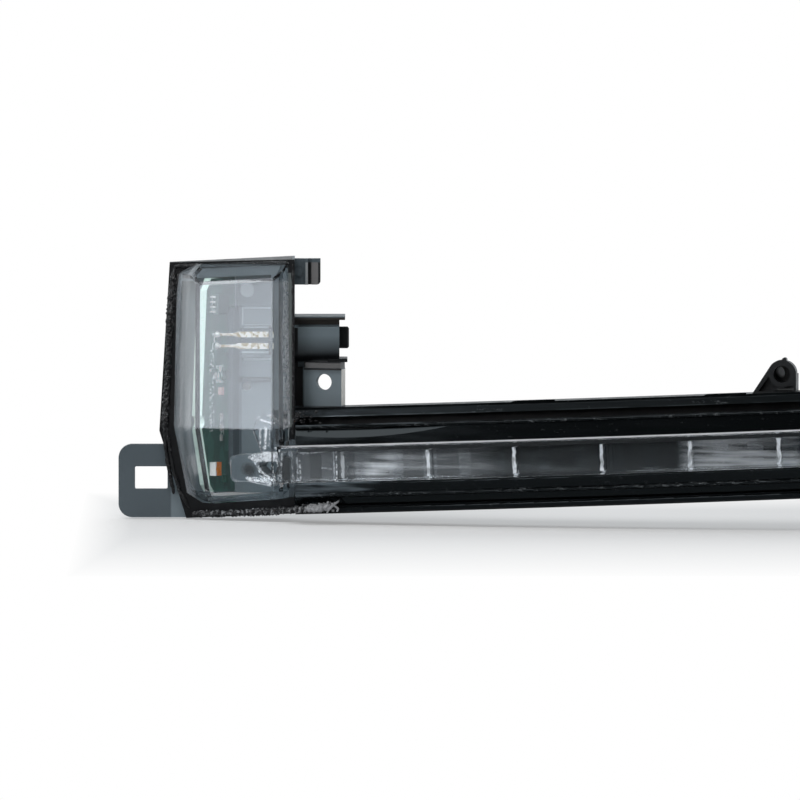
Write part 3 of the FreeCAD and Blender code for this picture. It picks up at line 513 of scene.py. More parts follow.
def slate_plastic():
    material, tree, body = new_finish("slate_plastic")
    place = measures(tree)
    colour = mixed(tree, grain(tree, 60.0, detail=4.0), *SLATE)
    arm = times(tree, rise(tree, place["X"], ARM_FROM_X),
                fall(tree, place["Height"], ARM_BELOW_HEIGHT))
    ear = times(tree, rise(tree, place["X"], EAR_FROM_X), fall(tree, place["X"], EAR_TO_X))
    colour = mixed(tree, largest(tree, arm, ear), colour, ARM_BLACK)
    inside = times(tree, between(tree, place["X"], WALL_X, 0.2),
                   between(tree, place["Y"], WALL_Y, 0.05))
    colour = mixed(tree, inside, colour, WALL_SLATE)
    # Painted shade in the wall's recesses, then painted highlights on its raised steps and its
    # disc.
    for marks, shade in ((WALL_RECESS_SHADE_MARKS, WALL_RECESS_SHADE), (WALL_STEP_HIGHLIGHT_MARKS, WALL_STEP_HIGHLIGHT)):
        found = times(tree, inside, patches_of(tree, place, marks))
        colour = mixed(tree, found, colour, shade)
    disc = fall(tree, away_from(tree, place, WALL_DISC), WALL_DISC_EDGE, WALL_DISC_HIGHLIGHT)
    colour = mixed(tree, times(tree, inside, disc), colour, WALL_STEP_HIGHLIGHT)
    # Painted highlights and painted shadows on the sides of the head, shroud, tabs and ear.
    for across, up, painted_colour in SIDE_PAINTED_LIGHT_AND_SHADE.values():
        colour = mixed(tree, patch_of(tree, place, across, up), colour, painted_colour)
    below = times(tree, patch_of(tree, place, SHROUD_X, SHROUD_Z),
                  fall(tree, place["Z"], SHROUD_DARKENS))
    colour = mixed(tree, below, colour, SHADOW)
    glint = times(tree, fall(tree, away_from(tree, place, EAR_GLINT), EAR_GLINT_FADES),
                  fall(tree, away_from(tree, place, EAR_POCKET), EAR_POCKET_EDGE))
    feed(tree, body.inputs["Base Color"], mixed(tree, glint, colour, GLINT))
    feed(tree, body.inputs["Roughness"], spread(tree, grain(tree, 400.0), (0.3, 0.7), (0.36, 0.52)))
    bumped(tree, body, grain(tree, 3500.0, detail=2.0), strength=0.25, distance_mm=0.05)
    return material


paint(slate_plastic(), "housing")

# %% [markdown]
# ## Polished black frame
# The frame of the arm is polished, bluish black, with faint waves along it and dust caught on its
# two ridges. Its upper edge and the ledge are matt. Near the head it mirrors pale things that
# stand outside the picture. Those could be built as reflectors, but a few streaks painted where
# the photograph has them hold in place for every lamp.

# %% Polished black frame
POLISHED = (0.003, 0.0038, 0.0042)
DUST = (0.13, 0.14, 0.145)
POLISHED_TINT = (0.8, 0.93, 1.0, 1.0)
RIDGES = [(-11.5, -10.6), (-29.5, -28.4)]
# Scuffs on the ledge, between two X and two heights.
SCUFFS = [((96, 105), (-9.0, -7.4)), ((38, 46), (-8.6, -7.6))]
# Painted reflection streaks on the ledge near the head, and painted light on the face under it.
LEDGE_FROM_HEIGHT = (-11.0, -10.6)
LEDGE_FADES_X = (-5, 45)
LEDGE_FADES = (0.9, 0.15)
LEDGE_PAINTED_REFLECTION = (0.042, 0.05, 0.056)
UNDER_LEDGE = (-8.6, -8.3)
UNDER_LEDGE_PAINTED_LIGHT = (0.3, 0.35, 0.38)
MATT_FROM_HEIGHT = (-6.95, -6.7)
# A painted reflection in a wedge under the window: it rises by this much per length, up to an X
# and a height.
WEDGE_SLOPE = 0.149
WEDGE_ABOVE = (-29.3, -28.7)
WEDGE_TO_X = (10, 15)
WEDGE_BELOW_HEIGHT = (-25.2, -24.8)
WEDGE_PAINTED_REFLECTION = (0.1, 0.12, 0.135)


def frame_dust(tree, place):
    """Specks all over, more of them on the two ridges and in two scuffs."""
    thin = rise(tree, grain(tree, 900.0, detail=6.0, stretch=(0.35, 1, 1), roughness=0.7),
                (0.62, 0.78), 0.5)
    specks = rise(tree, grain(tree, 1100.0, detail=5.0, stretch=(0.4, 1, 1), roughness=0.75),
                  (0.53, 0.68))
    patches = spread(tree, grain(tree, 60.0, detail=2.0, stretch=(1, 0.2, 0.2)),
                     (0.45, 0.6), (0.15, 1.0))
    ridge = largest(tree, *[between(tree, place["Height"], heights, 0.15) for heights in RIDGES])
    scuff = largest(tree, *[times(tree, between(tree, place["X"], across, 1),
                                  between(tree, place["Height"], heights, 0.2))
                            for across, heights in SCUFFS])
    return largest(tree, thin, times(tree, ridge, specks, patches), times(tree, scuff, specks))


def polished_black():
    """Bluish black that mirrors, with a matt upper edge, and painted reflections and painted light
    near the head.
    """
    material, tree, body = new_finish("polished_black", Specular_Tint=POLISHED_TINT)
    place = measures(tree)
    height = place["Height"]
    colour = mixed(tree, frame_dust(tree, place), POLISHED, DUST)
    ledge = rise(tree, height, LEDGE_FROM_HEIGHT)
    streak = spread(tree, grain(tree, 700.0, stretch=(0.1, 0.1, 1)), (0.4, 0.62), (0.1, 1.0))
    # Painted reflection streaks on the ledge, then painted light on the unlit face under it.
    ledge_reflection = times(tree, ledge, spread(tree, place["X"], LEDGE_FADES_X, LEDGE_FADES), streak)
    colour = mixed(tree, times(tree, ledge_reflection, 0.5), colour, LEDGE_PAINTED_REFLECTION)
    under = times(tree, ledge_reflection, fall(tree, height, UNDER_LEDGE))
    colour = mixed(tree, under, colour, UNDER_LEDGE_PAINTED_LIGHT)
    # Painted reflection in a wedge under the window, streaky like the ledge's.
    above = calculate(tree, "MULTIPLY_ADD", place["X"], -WEDGE_SLOPE, place["Z"])
    wedge_reflection = times(tree, rise(tree, above, WEDGE_ABOVE), fall(tree, place["X"], WEDGE_TO_X),
                  fall(tree, height, WEDGE_BELOW_HEIGHT))
    feed(tree, body.inputs["Base Color"],
         mixed(tree, times(tree, wedge_reflection, streak), colour, WEDGE_PAINTED_REFLECTION))
    matt = rise(tree, height, MATT_FROM_HEIGHT)
    smear = spread(tree, grain(tree, 250.0, detail=4.0, stretch=(0.12, 0.12, 1)),
                   (0.3, 0.75), (0.06, 0.2))
    feed(tree, body.inputs["Roughness"], largest(tree, smear, times(tree, ledge, 0.33), matt))
    dull = largest(tree, matt, times(tree, ledge, 0.5))
    feed(tree, body.inputs["Specular IOR Level"], fall(tree, dull, (0.0, 1.0), 0.32))
    bumped(tree, body, grain(tree, 160.0, stretch=(0.1, 0.1, 1)), strength=0.3, distance_mm=0.15)
    return material


paint(polished_black(), "black_bezel")

# %% [markdown]
# ## Small black plastics
# The rail, the tongue, the potting, the chips and the solid bead are matt black or nearly so. One
# function with two shades is enough for all of them. The bead alone has pale patches of painted
# light where the clear edge above it throws light on it.

# %% Small black plastics
# Painted light on the bead between two X and two Z, and its colour.
BEAD_PAINTED_LIGHT = [
    ((-9.6, -6.5), (-29.9, -26.0), (0.06, 0.072, 0.08)),
    ((-9.8, -8.35), (-11.5, 28.5), (0.13, 0.145, 0.142)),
]


def matt_black(name, low, high, shine=0.5, pale_patches=()):
    material, tree, body = new_finish(name, Specular_IOR_Level=shine)
    place = measures(tree)
    colour = mixed(tree, grain(tree, 300.0, detail=5.0), low, high)
    # Paler patches, on the bead painted light from the clear edge above it.
    for across, up, lit_colour in pale_patches:
        colour = mixed(tree, patch_of(tree, place, across, up), colour, lit_colour)
    feed(tree, body.inputs["Base Color"], colour)
    feed(tree, body.inputs["Roughness"], spread(tree, grain(tree, 800.0), (0.3, 0.7), (0.45, 0.65)))
    bumped(tree, body, grain(tree, 2500.0), strength=0.2, distance_mm=0.05)
    return material


paint(matt_black("carrier_black", (0.012, 0.014, 0.015), (0.024, 0.027, 0.028)),
      "guide_carrier", "connector_keeper")
paint(matt_black("potting", (0.02, 0.02, 0.02), (0.04, 0.04, 0.042)), "terminal_seal")
paint(matt_black("chip_black", (0.03, 0.06, 0.055), (0.06, 0.1, 0.09)),
      "driver_chip", "protection_diode")
paint(matt_black("chip_pale", (0.1, 0.1, 0.1), (0.75, 0.75, 0.72)), "chip_resistors")
paint(matt_black("bead_black", (0.006, 0.006, 0.007), (0.018, 0.019, 0.02), shine=0.12,
                 pale_patches=BEAD_PAINTED_LIGHT), "sealant_bead")

# %% [markdown]
# ## The guide's lit head end
# At its head end the light guide is a knot of cut faces that gather light along their edges and
# turn dark between them. Caustics could show that, but at great cost and with noise. Here the
# edges are lines along paths of (X, Z) and the dark faces are soft patches, both laid over the
# clear plastic of the solid.

# %% Lit edges
# Path, half width and brightness of each lit edge.
COUPLER_EDGES = [
    (((-18.5, -8.6), (-18.2, -12.5), (-17.2, -17.2)), 0.2, 0.3),
    (((-17.4, -9.4), (-15.6, -8.3), (-13.5, -8.8), (-12.2, -10.4)), 0.45, 0.8),
    (((-16.1, -10.1), (-13.3, -10.9)), 0.3, 0.5),
    (((-16.1, -12.5), (-16.4, -16.9)), 0.25, 0.45),
    (((-14.8, -12.2), (-15.1, -17.2)), 0.35, 0.6),
    (((-13.9, -12.7), (-14.0, -16.6)), 0.2, 0.35),
    (((-12.7, -17.2), (-6.2, -16.4)), 0.3, 0.7),
    (((-19.0, -17.4), (-22.4, -18.5), (-23.9, -20.0), (-24.3, -22.4), (-23.7, -24.7),
      (-21.8, -26.3), (-18.7, -26.8)), 0.2, 0.25),
    (((-17.8, -19.0), (-16.9, -21.5), (-15.8, -23.4), (-14.0, -24.6), (-12.7, -25.2)), 0.3, 0.9),
    (((-18.6, -19.8), (-16.9, -19.2), (-14.0, -19.9)), 0.35, 0.75),
    (((-16.1, -20.5), (-12.0, -20.5), (-11.4, -23.9)), 0.2, 0.45),
    (((-19.0, -25.2), (-14.8, -25.7), (-12.5, -26.8)), 0.55, 0.95),
    (((-16.1, -24.2), (-12.7, -26.3)), 0.25, 0.6),
    (((-10.7, -18.5), (-10.9, -26.5)), 0.3, 0.3),
    (((-8.1, -18.2), (-7.8, -26.5)), 0.35, 0.25),
    (((-6.1, -19.8), (-5.7, -26.5)), 0.3, 0.45),
    (((-5.5, -18.5), (2.6, -17.4)), 0.2, 0.45),
    (((-6.0, -26.3), (2.6, -26.0)), 0.25, 0.6),
    (((-0.5, -22.1), (3.1, -22.4)), 0.15, 0.3),
    (((3.4, -17.2), (3.6, -22.0), (3.5, -26.3)), 0.22, 0.7),
]
EDGE_SOLID = 0.4
EDGE_FADED = 1.3
COUPLER_SHADES = [
    ((-16.2, -11.8), (-24.0, -20.9)),
    ((-12.7, -8.1), (-15.9, -12.5)),
    ((-10.4, -8.3), (-25.7, -19.2)),
]
COUPLER_SHADE_SOFT = 0.4
COUPLER_HOLLOW = (-18.9, -22.8)
COUPLER_HOLLOW_FADES = (0.7, 2.1)
COUPLER_HOLLOW_DARK = 0.8
COUPLER_TO_X = (-8.5, -7.0)


def edge_glow(tree, place):
    """How far the guide's head end turns away from the eye: its cut edges gather light."""
    turned = node(tree, "ShaderNodeLayerWeight", Blend=0.5)
    rim = rise(tree, turned.outputs["Facing"], (0.5, 0.95), 0.5)
    uneven = spread(tree, grain(tree, 520.0, detail=4.0, roughness=0.6), (0.35, 0.65), (0.25, 1.0))
    return times(tree, rim, uneven, fall(tree, place["X"], COUPLER_TO_X))


def stroke(tree, flat, start, end, width):
    """One within a half width of the line between two (X, Z) places, in millimetres."""
    a = Vector((start[0], 0, start[1]))
    run = Vector((end[0], 0, end[1])) - a
    away = node(tree, "ShaderNodeVectorMath", operation="SUBTRACT")
    feed(tree, away.inputs[0], flat)
    feed(tree, away.inputs[1], a)
    along = compare(tree, "DOT_PRODUCT", away.outputs["Vector"], run)
    nearest = node(tree, "ShaderNodeVectorMath", operation="SCALE",
                   Scale=rise(tree, along, (0.0, run.length_squared)))
    feed(tree, nearest.inputs[0], run)
    distance_off = compare(tree, "DISTANCE", away.outputs["Vector"], nearest.outputs["Vector"])
    return fall(tree, distance_off, (width * EDGE_SOLID, width * EDGE_FADED))


def coupler_edges(tree, place):
    """All lit edges, uneven along their length."""
    flat = node(tree, "ShaderNodeCombineXYZ", X=place["X"], Z=place["Z"]).outputs[0]
    lines = [times(tree, stroke(tree, flat, start, end, width), bright)
             for points, width, bright in COUPLER_EDGES
             for start, end in zip(points, points[1:])]
    uneven = spread(tree, grain(tree, 900.0, detail=4.0, roughness=0.65), (0.42, 0.58), (0.2, 1.8))
    return times(tree, largest(tree, *lines), uneven)


def coupler_shades(tree, place):
    """Facets of the guide's head end that turn to the dark."""
    hollow = fall(tree, away_from(tree, place, COUPLER_HOLLOW), COUPLER_HOLLOW_FADES,
                  COUPLER_HOLLOW_DARK)
    facets = [patch_of(tree, place, across, up, COUPLER_SHADE_SOFT)
              for across, up in COUPLER_SHADES]
    return largest(tree, hollow, *facets)


print("lit edges", len(COUPLER_EDGES), "dark facets", len(COUPLER_SHADES) + 1)

# %% [markdown]
# ## Frost and painted light
# Moulded clear edges catch light along their rounding as a painted highlight, the lens carries
# faint milky smears and painted reflections, and the guide's ribs are frosted, with painted light
# along them and painted streaks of light between some of them. Each could be a piece of its own. A
# pale layer of frost and painted light placed by the arm's measures follows the arc without a seam.

# %% Frost and painted light
# The lens: a painted highlight on the rounded upper edge of its window bar, milky smears on its
# left facet, and painted reflections and a painted highlight on its right border.
BAR_EDGE = 0.5
BAR_FRONT = (FACE_RADIUS + 0.2, FACE_RADIUS + 0.6)
BAR_FROM_X = (-12, -8)
BAR_EDGE_HIGHLIGHT = 0.85
LEFT_FACET_X = (-33.8, -33.2)
ABOVE_CREASE = (CREASE + 0.5, 26.5)
BORDER_X = (-10.6, -8.0)
CHAMFER_X = (-13.6, -10.5)
CHAMFER_REFLECTION = 0.085
SPOT = ((-10.6, -8.8), (-11.5, -9.2))
SPOT_HIGHLIGHT = 1.5
# The guide: half width of a rib, its front, and stretches of light along its arc.
RIB_CORE = (-0.5, 0.45)
RIB_FRONT = (594.7, 595.0)
RIBS_CLEAR_X = (-2, 16)
BRIGHT_ARC = (5.0, 14.0)
FAINT_ARC = (0.0, 40.0)
FAR_ARC = (91.0, 122.0)
HAZE_ARC = (-14.0, 38.0)
FAINT = 0.35
FAR = 0.5
HAZE = 0.07
SPARKLING_PATCH = ((-18.0, -12.3), (-20.6, -18.2))


def lens_edge(tree, place):
    """Painted highlight on the bar's upper edge, milky smears on the head, painted reflections on
    its border.
    """
    line = times(tree, between(tree, place["Height"], (WINDOW_TOP - BAR_EDGE, WINDOW_TOP), 0.1),
                 rise(tree, place["Radius"], BAR_FRONT),
                 rise(tree, place["X"], BAR_FROM_X, BAR_EDGE_HIGHLIGHT))
    streaks = spread(tree, grain(tree, 260.0, detail=4.0, stretch=(1, 1, 0.06), roughness=0.6),
                     (0.42, 0.7), (0.05, 0.28))
    pale_patches = times(tree, fall(tree, place["X"], LEFT_FACET_X),
                   spread(tree, place["Z"], (CREASE - 1, CREASE), (0.6, 1)), streaks)
    above = between(tree, place["Z"], ABOVE_CREASE, 0.6)
    glint = spread(tree, grain(tree, 1100.0, detail=4.0, stretch=(1, 1, 0.7), roughness=0.7),
                   (0.42, 0.62), (0.2, 0.7))
    # Painted reflections on the right border and chamfer, and a painted highlight at the crease.
    border = times(tree, between(tree, place["X"], BORDER_X, 0.2), above, glint)
    chamfer = times(tree, between(tree, place["X"], CHAMFER_X, 0.3), above, CHAMFER_REFLECTION)
    spot = times(tree, patch_of(tree, place, *SPOT), glint, SPOT_HIGHLIGHT)
    return largest(tree, line, pale_patches, border, chamfer, spot)


def guide_frost_and_light(tree, place):
    """Frosted ribs with painted light along each, painted light streaks, painted sparkle, the lit
    head end.
    """
    phase = calculate(tree, "WRAP", place["Arc"], RIB_PITCH / 2, -RIB_PITCH / 2)
    sway = spread(tree, grain(tree, 500.0, detail=1.0), (0.3, 0.7), (-0.2, 0.2))
    core = between(tree, calculate(tree, "ADD", phase, sway), RIB_CORE, 0.12)
    patchy = spread(tree, grain(tree, 520.0, detail=4.0, stretch=(1, 1, 0.7)),
                    (0.38, 0.54), (0.45, 1.0))
    ribs = times(tree, core, patchy, rise(tree, place["Radius"], RIB_FRONT),
                 spread(tree, place["X"], RIBS_CLEAR_X, (0.2, 1)))
    streaks = rise(tree, grain(tree, 620.0, detail=2.0, stretch=(0.055, 0.055, 1)),
                   (0.4, 0.64), 0.9)
    zone = largest(tree, between(tree, place["Arc"], BRIGHT_ARC, 2.5),
                   times(tree, between(tree, place["Arc"], FAINT_ARC, 3.0), FAINT),
                   times(tree, between(tree, place["Arc"], FAR_ARC, 2.0), FAR))
    haze = times(tree, between(tree, place["Arc"], HAZE_ARC, 4.0), HAZE)
    sparkle = spread(tree, grain(tree, 900.0, detail=4.0, roughness=0.7),
                     (0.38, 0.55), (0.25, 1.0))
    patch = times(tree, patch_of(tree, place, *SPARKLING_PATCH, soft=0.3), sparkle)
    return largest(tree, ribs, haze, times(tree, streaks, zone), edge_glow(tree, place), patch,
                   coupler_edges(tree, place))


print("window top mm", WINDOW_TOP, "rib pitch mm", RIB_PITCH)

# %% [markdown]
# ## Clear plastics
# Clear plastic bends light at each face. Lamps are let through by a transparent shader for
# shadow rays, so that what is inside is lit without waiting for caustics. A thin coat without
# refraction would be quicker still, but the lens would lose its thickness.

# %% Clear plastic
CLEAR_IOR = 1.49
CLEAR_TINT = (0.9, 0.95, 1.0, 1.0)
SHADOW_TINT = (0.9, 0.92, 0.93, 1.0)
# Colours of frost and of painted light, and painted dark for facets in shade.
FROST_AND_PAINTED_LIGHT = ((0.72, 0.74, 0.8), (1.0, 1.0, 1.0))
DARK_FACET = (0.01, 0.012, 0.013)
DARK_FACET_COVERS = 0.95


def clear_plastic(name, colour, roughness, wave, wave_size, stretch, frost_and_painted_light, shaded=None):
    """Clear plastic, pale with frost and painted light where frost_and_painted_light says, painted
    dark where shaded does.
    """
    material, tree, output = new_material(name)
    place = measures(tree)
    uneven = spread(tree, grain(tree, 500.0), (0.35, 0.75), (roughness * 0.6, roughness * 1.6))
    body = node(tree, "ShaderNodeBsdfPrincipled", Specular_Tint=CLEAR_TINT,
                Base_Color=(*colour, 1.0), Transmission_Weight=1.0, IOR=CLEAR_IOR,
                Roughness=uneven)
    bumped(tree, body, grain(tree, wave_size, detail=2.0, stretch=stretch), wave, distance_mm=0.1)
    pale = mixed(tree, grain(tree, 900.0, detail=2.0), *FROST_AND_PAINTED_LIGHT)
    amount = frost_and_painted_light(tree, place)
    if shaded:
        shade = shaded(tree, place)
        dark = times(tree, rise(tree, shade, (0, 0.12)), fall(tree, amount, (0.2, 0.5)))
        pale = mixed(tree, dark, pale, DARK_FACET)
        amount = largest(tree, amount, times(tree, shade, DARK_FACET_COVERS))
    frost_and_light = node(tree, "ShaderNodeBsdfPrincipled", Roughness=0.3, Base_Color=pale)
    dull = blended(tree, amount, body.outputs[0], frost_and_light.outputs[0])
    through = node(tree, "ShaderNodeBsdfTransparent", Color=SHADOW_TINT)
    rays = node(tree, "ShaderNodeLightPath")
    tree.links.new(blended(tree, rays.outputs["Is Shadow Ray"], dull, through.outputs[0]),
                   output.inputs["Surface"])
    return material


paint(clear_plastic("clear_lens_plastic", (0.95, 0.975, 0.985), roughness=0.03, wave=0.08,
                    wave_size=60.0, stretch=(1, 1, 1), frost_and_painted_light=lens_edge), "clear_lens")
paint(clear_plastic("guide_plastic", (0.94, 0.96, 0.98), roughness=0.05, wave=0.2,
                    wave_size=150.0, stretch=(0.15, 0.15, 1), frost_and_painted_light=guide_frost_and_light,
                    shaded=coupler_shades), "light_guide")

# %% [markdown]
# ## Board
# The board stands on edge. Its faces carry green mask with pale dots, dashes and pads, and its
# cut edge is bare, pale laminate. Traces and marks could be thin solids, but they are flatter
# than the mask itself, so noise and small patches stand for them. None of them is a letter.

# %% Board
BOARD_YAW = math.radians(58)
BOARD_NORMAL = (math.sin(BOARD_YAW), -math.cos(BOARD_YAW), 0.0)
MASK = ((0.05, 0.132, 0.107), (0.065, 0.182, 0.142))
LAMINATE = (0.62, 0.76, 0.69)
MARKS = (0.75, 0.83, 0.79)
# Marks between two X and two Z.
DOTTED = ((-29.6, -28.4), (-13.0, 8.0))
DASHED = [
    ((-28.0, -26.0), (-0.8, 3.8)),
    ((-26.9, -25.9), (-15.4, -10.0)),
    ((-28.9, -27.6), (8.0, 12.4)),
]
PADS = [((left, left + 0.4), (17.6, 22.4)) for left in (-28.9, -27.5, -26.2)]


def board_laminate():
    """Green solder mask with pale marks on the faces, pale bare laminate on the cut edge."""
    material, tree, body = new_finish("board_laminate")
    place = measures(tree)
    facing = node(tree, "ShaderNodeNewGeometry").outputs["Normal"]
    turned = calculate(tree, "ABSOLUTE", compare(tree, "DOT_PRODUCT", facing, BOARD_NORMAL))
    edge = fall(tree, turned, (0.4, 0.6))
    traces = rise(tree, grain(tree, 350.0, detail=1.0, stretch=(1, 1, 0.4)), (0.48, 0.5))
    dots = rise(tree, grain(tree, 1000.0, detail=1.0, stretch=(1, 1, 1.6)), (0.53, 0.58))
    dashes = rise(tree, grain(tree, 1100.0, detail=1.0, stretch=(1, 1, 0.6)), (0.46, 0.52))
    marks = largest(tree, times(tree, patch_of(tree, place, *DOTTED), dots),
                    times(tree, patches_of(tree, place, DASHED), dashes),
                    patches_of(tree, place, PADS))
    mask = mixed(tree, marks, mixed(tree, traces, *MASK), MARKS)
    feed(tree, body.inputs["Base Color"], mixed(tree, edge, mask, LAMINATE))
    feed(tree, body.inputs["Roughness"], spread(tree, edge, (0.0, 1.0), (0.32, 0.7)))
    return material


paint(board_laminate(), "circuit_board")

# %% [markdown]
# ## Small parts on the board
# A white package half filled with amber resin, tan capacitors, tinned leads and joints, and the
# two gilt terminals, mottled from dark gold to near white. Most of them are a few pixels wide in
# the picture, so two shades and some noise on each solid are enough.

# %% Small parts
AMBER = (0.95, 0.24, 0.02)
AMBER_FROM_X = (-27.75, -27.65)
AMBER_BELOW_Z = (-16, -15)
BARE_Z = (-6, 0)
LACQUER = (0.03, 0.12, 0.085)


def led_white():
    """White package whose right half is filled with amber resin."""
    material, tree, body = new_finish("led_white", Roughness=0.45)
    place = measures(tree)
    half = times(tree, rise(tree, place["X"], AMBER_FROM_X), fall(tree, place["Z"], AMBER_BELOW_Z))
    white = mixed(tree, grain(tree, 500.0), (0.8, 0.8, 0.78), (0.9, 0.9, 0.88))
    feed(tree, body.inputs["Base Color"], mixed(tree, half, white, AMBER))
    return material


def ceramic():
    """Tan ceramic, bare in the middle of the board and under green lacquer elsewhere."""
    material, tree, body = new_finish("capacitor_ceramic", Roughness=0.5)
    lacquered = fall(tree, between(tree, measures(tree)["Z"], BARE_Z, 0.3), (0, 1))
    tan = mixed(tree, grain(tree, 700.0), (0.62, 0.3, 0.3), (0.75, 0.6, 0.55))
    feed(tree, body.inputs["Base Color"], mixed(tree, lacquered, tan, LACQUER))
    return material


def plain_finish(name, low, high, roughness, metallic=0.0, scale=500.0, blend=0.5):
    """Two shades of one finish, mottled; a small blend parts them more clearly."""
    material, tree, body = new_finish(name, Metallic=metallic)
    mottle = rise(tree, grain(tree, scale), (0.5 - blend, 0.5 + blend))
    feed(tree, body.inputs["Base Color"], mixed(tree, mottle, low, high))
    feed(tree, body.inputs["Roughness"],
         spread(tree, grain(tree, scale * 1.7), (0.3, 0.7), (roughness * 0.7, roughness * 1.3)))
    bumped(tree, body, grain(tree, scale * 3), strength=0.15, distance_mm=0.03)
    return material


paint(led_white(), "led_packages")
paint(plain_finish("amber_filling", (0.95, 0.24, 0.015), (1.0, 0.33, 0.03), roughness=0.3),
      "led_windows")
paint(plain_finish("tin", (0.62, 0.62, 0.6), (0.85, 0.85, 0.83), roughness=0.35, metallic=0.4),
      "driver_leads", "solder_joints")
paint(plain_finish("gold_plate", (0.35, 0.25, 0.09), (1.0, 0.99, 0.95), roughness=0.4,
                   metallic=0.05, scale=900.0, blend=0.09), "terminal_upper", "terminal_lower")
paint(ceramic(), "chip_capacitors")
paint(plain_finish("vent_felt", (0.6, 0.6, 0.6), (0.7, 0.7, 0.69), roughness=0.8, scale=2000.0),
      "vent_membrane")

# %% [markdown]
# ## Rolling a rope
# The lens is bedded in black sealant that was left as it was squeezed out. A grid rolled into a
# tube with an uneven skin makes one rope of it. It could also be sculpted, but a rolled grid
# keeps the grain even and the script short.

# %% Rope tools
RIM_Y = -3.9
RIM_YAW = math.radians(25.2)
RIM_UP = 0.095
RIM_DOWN = 0.2
RIM_RIGHT = -8.4
SEAL_FRONT = 0.78
SHORTEST_ROPE = 8
LOOK_ALONG = 0.004
TAPER_POWER = 16
SWAY_LENGTH = 2.2
SWELL_LENGTH = 1.7
SWELL = 0.25
FLATTENED = 0.9
GRAIN_MEAN = 0.45
SAME_PLACE = 1e-7


def rim_front(x, z):
    """Front of the solid bead on the head's rim, in millimetres."""
    leaning = RIM_UP * (z - CREASE) if z > CREASE else RIM_DOWN * (CREASE - z)
    return RIM_Y - SEAL_FRONT + math.tan(RIM_YAW) * (RIM_RIGHT - x) + leaning


def on_rim(places):
    """Path of (x, y, z, radius) on the rim from places of (x, z, radius)."""
    return [(x, rim_front(x, z), z, radius) for x, z, radius in places]


def lengths_of(points):
    """Length of each piece of a path."""
    return [(Vector(b[:3]) - Vector(a[:3])).length for a, b in zip(points, points[1:])]


def along_path(points, t):
    """Place and radius at a share of the way along a path of (x, y, z, radius)."""
    lengths = lengths_of(points)
    left = t * sum(lengths)
    for a, b, length in zip(points, points[1:], lengths):
        if left <= length or b is points[-1]:
            share = min(1.0, left / length)
            place = [u + (v - u) * share for u, v in zip(a, b)]
            return Vector(place[:3]), place[3]
        left -= length


def grains(place, size):
    """Height of a grainy skin at a place, from nought to one."""
    ledge_reflection = noise.voronoi(place / size)[0][0]
    return 1.0 - min(1.0, ledge_reflection)


def roll_rope(shape, points, step, around, rough, grain_size, wander):
    """Rolls a grid into an uneven tube along a path; both ends taper off."""
    total = sum(lengths_of(points))
    steps = max(SHORTEST_ROPE, int(total / step))
    made = bmesh.ops.create_grid(shape, x_segments=steps, y_segments=around, size=0.5)["verts"]
    outward = Vector((-math.sin(RIM_YAW), -math.cos(RIM_YAW), 0.0))
    for vert in made:
        t = vert.co.x + 0.5
        turn = (vert.co.y + 0.5) * 2 * math.pi
        centre, radius = along_path(points, t)
        ahead = along_path(points, min(1.0, t + LOOK_ALONG))[0]
        behind = along_path(points, max(0.0, t - LOOK_ALONG))[0]
        side = (ahead - behind).normalized().cross(outward)
        taper = min(1.0, math.sqrt(max(0.0, 1 - (2 * t - 1) ** TAPER_POWER)))
        sway = noise.noise_vector(Vector((t * total / SWAY_LENGTH, radius, 3.0))) * wander
        skin = side * math.cos(turn) + outward * math.sin(turn) * FLATTENED
        swell = 1 + SWELL * noise.noise(Vector((t * total / SWELL_LENGTH, 5.0, radius)))
        swell += rough * (grains(centre + skin * radius, grain_size) - GRAIN_MEAN)
        vert.co = (centre + sway + skin * radius * swell * taper) * MM
    bmesh.ops.remove_doubles(shape, verts=made, dist=SAME_PLACE)


print("rim front at the crease mm", round(rim_front(RIM_RIGHT, CREASE), 2))

# %% [markdown]
# ## Sealant
# A thick crumbly rope runs down the left rim and along the foot, thin uneven lines at the top and
# right, and one stray thread hangs from the foot. Loose crumbs sit on the foot and in the corner
# between head and arm. The paths follow the photograph, the depths follow the rim. Crumbs are
# placed by chance. It has a fixed start, and so has the noise, so every run gives the same mesh.

# %% Sealant ropes
ROUGH_ROPES = [
    on_rim([(-38.8, 29.4, 0.85), (-39.6, 23.1, 1.0), (-40.2, 15.4, 1.0), (-40.6, 5.6, 0.85),
            (-41.1, -5.4, 0.95), (-41.5, -11.9, 0.9), (-41.3, -15.3, 0.7)]),
    on_rim([(-34.6, -35.2, 0.75), (-28.3, -35.0, 0.85), (-20.5, -34.5, 0.8), (-14.0, -33.9, 0.95),
            (-9.5, -33.4, 0.9)]),
    [(-10.5, -1.5, -33.4, 0.8), (-8.3, -6.5, -33.0, 0.9), (-5.5, -9.4, -32.5, 1.0),
     (-1.5, -10.0, -32.2, 1.1), (1.6, -9.6, -32.0, 1.4), (3.3, -9.2, -31.7, 1.5)],
]
SMOOTH_ROPES = [
    on_rim([(-37.6, 28.4, 0.45), (-38.9, 23.2, 0.5), (-39.5, 15.4, 0.55), (-40.1, 5.0, 0.45),
            (-40.7, -5.3, 0.45), (-41.0, -13.2, 0.5), (-39.6, -22.3, 0.5), (-37.6, -29.4, 0.55),
            (-35.2, -33.8, 0.6)]),
    on_rim([(-41.6, -14.4, 0.5), (-41.1, -19.8, 0.6), (-40.2, -25.0, 0.6), (-39.2, -30.2, 0.5)]),
    on_rim([(-39.2, 29.5, 0.65), (-32.2, 29.8, 0.55), (-21.8, 30.4, 0.5), (-8.9, 31.0, 0.6)]),
    on_rim([(-8.1, 31.0, 0.45), (-7.95, 21.5, 0.36), (-8.0, 8.5, 0.42), (-7.95, -4.4, 0.4),
            (-8.1, -13.5, 0.55)]),
]
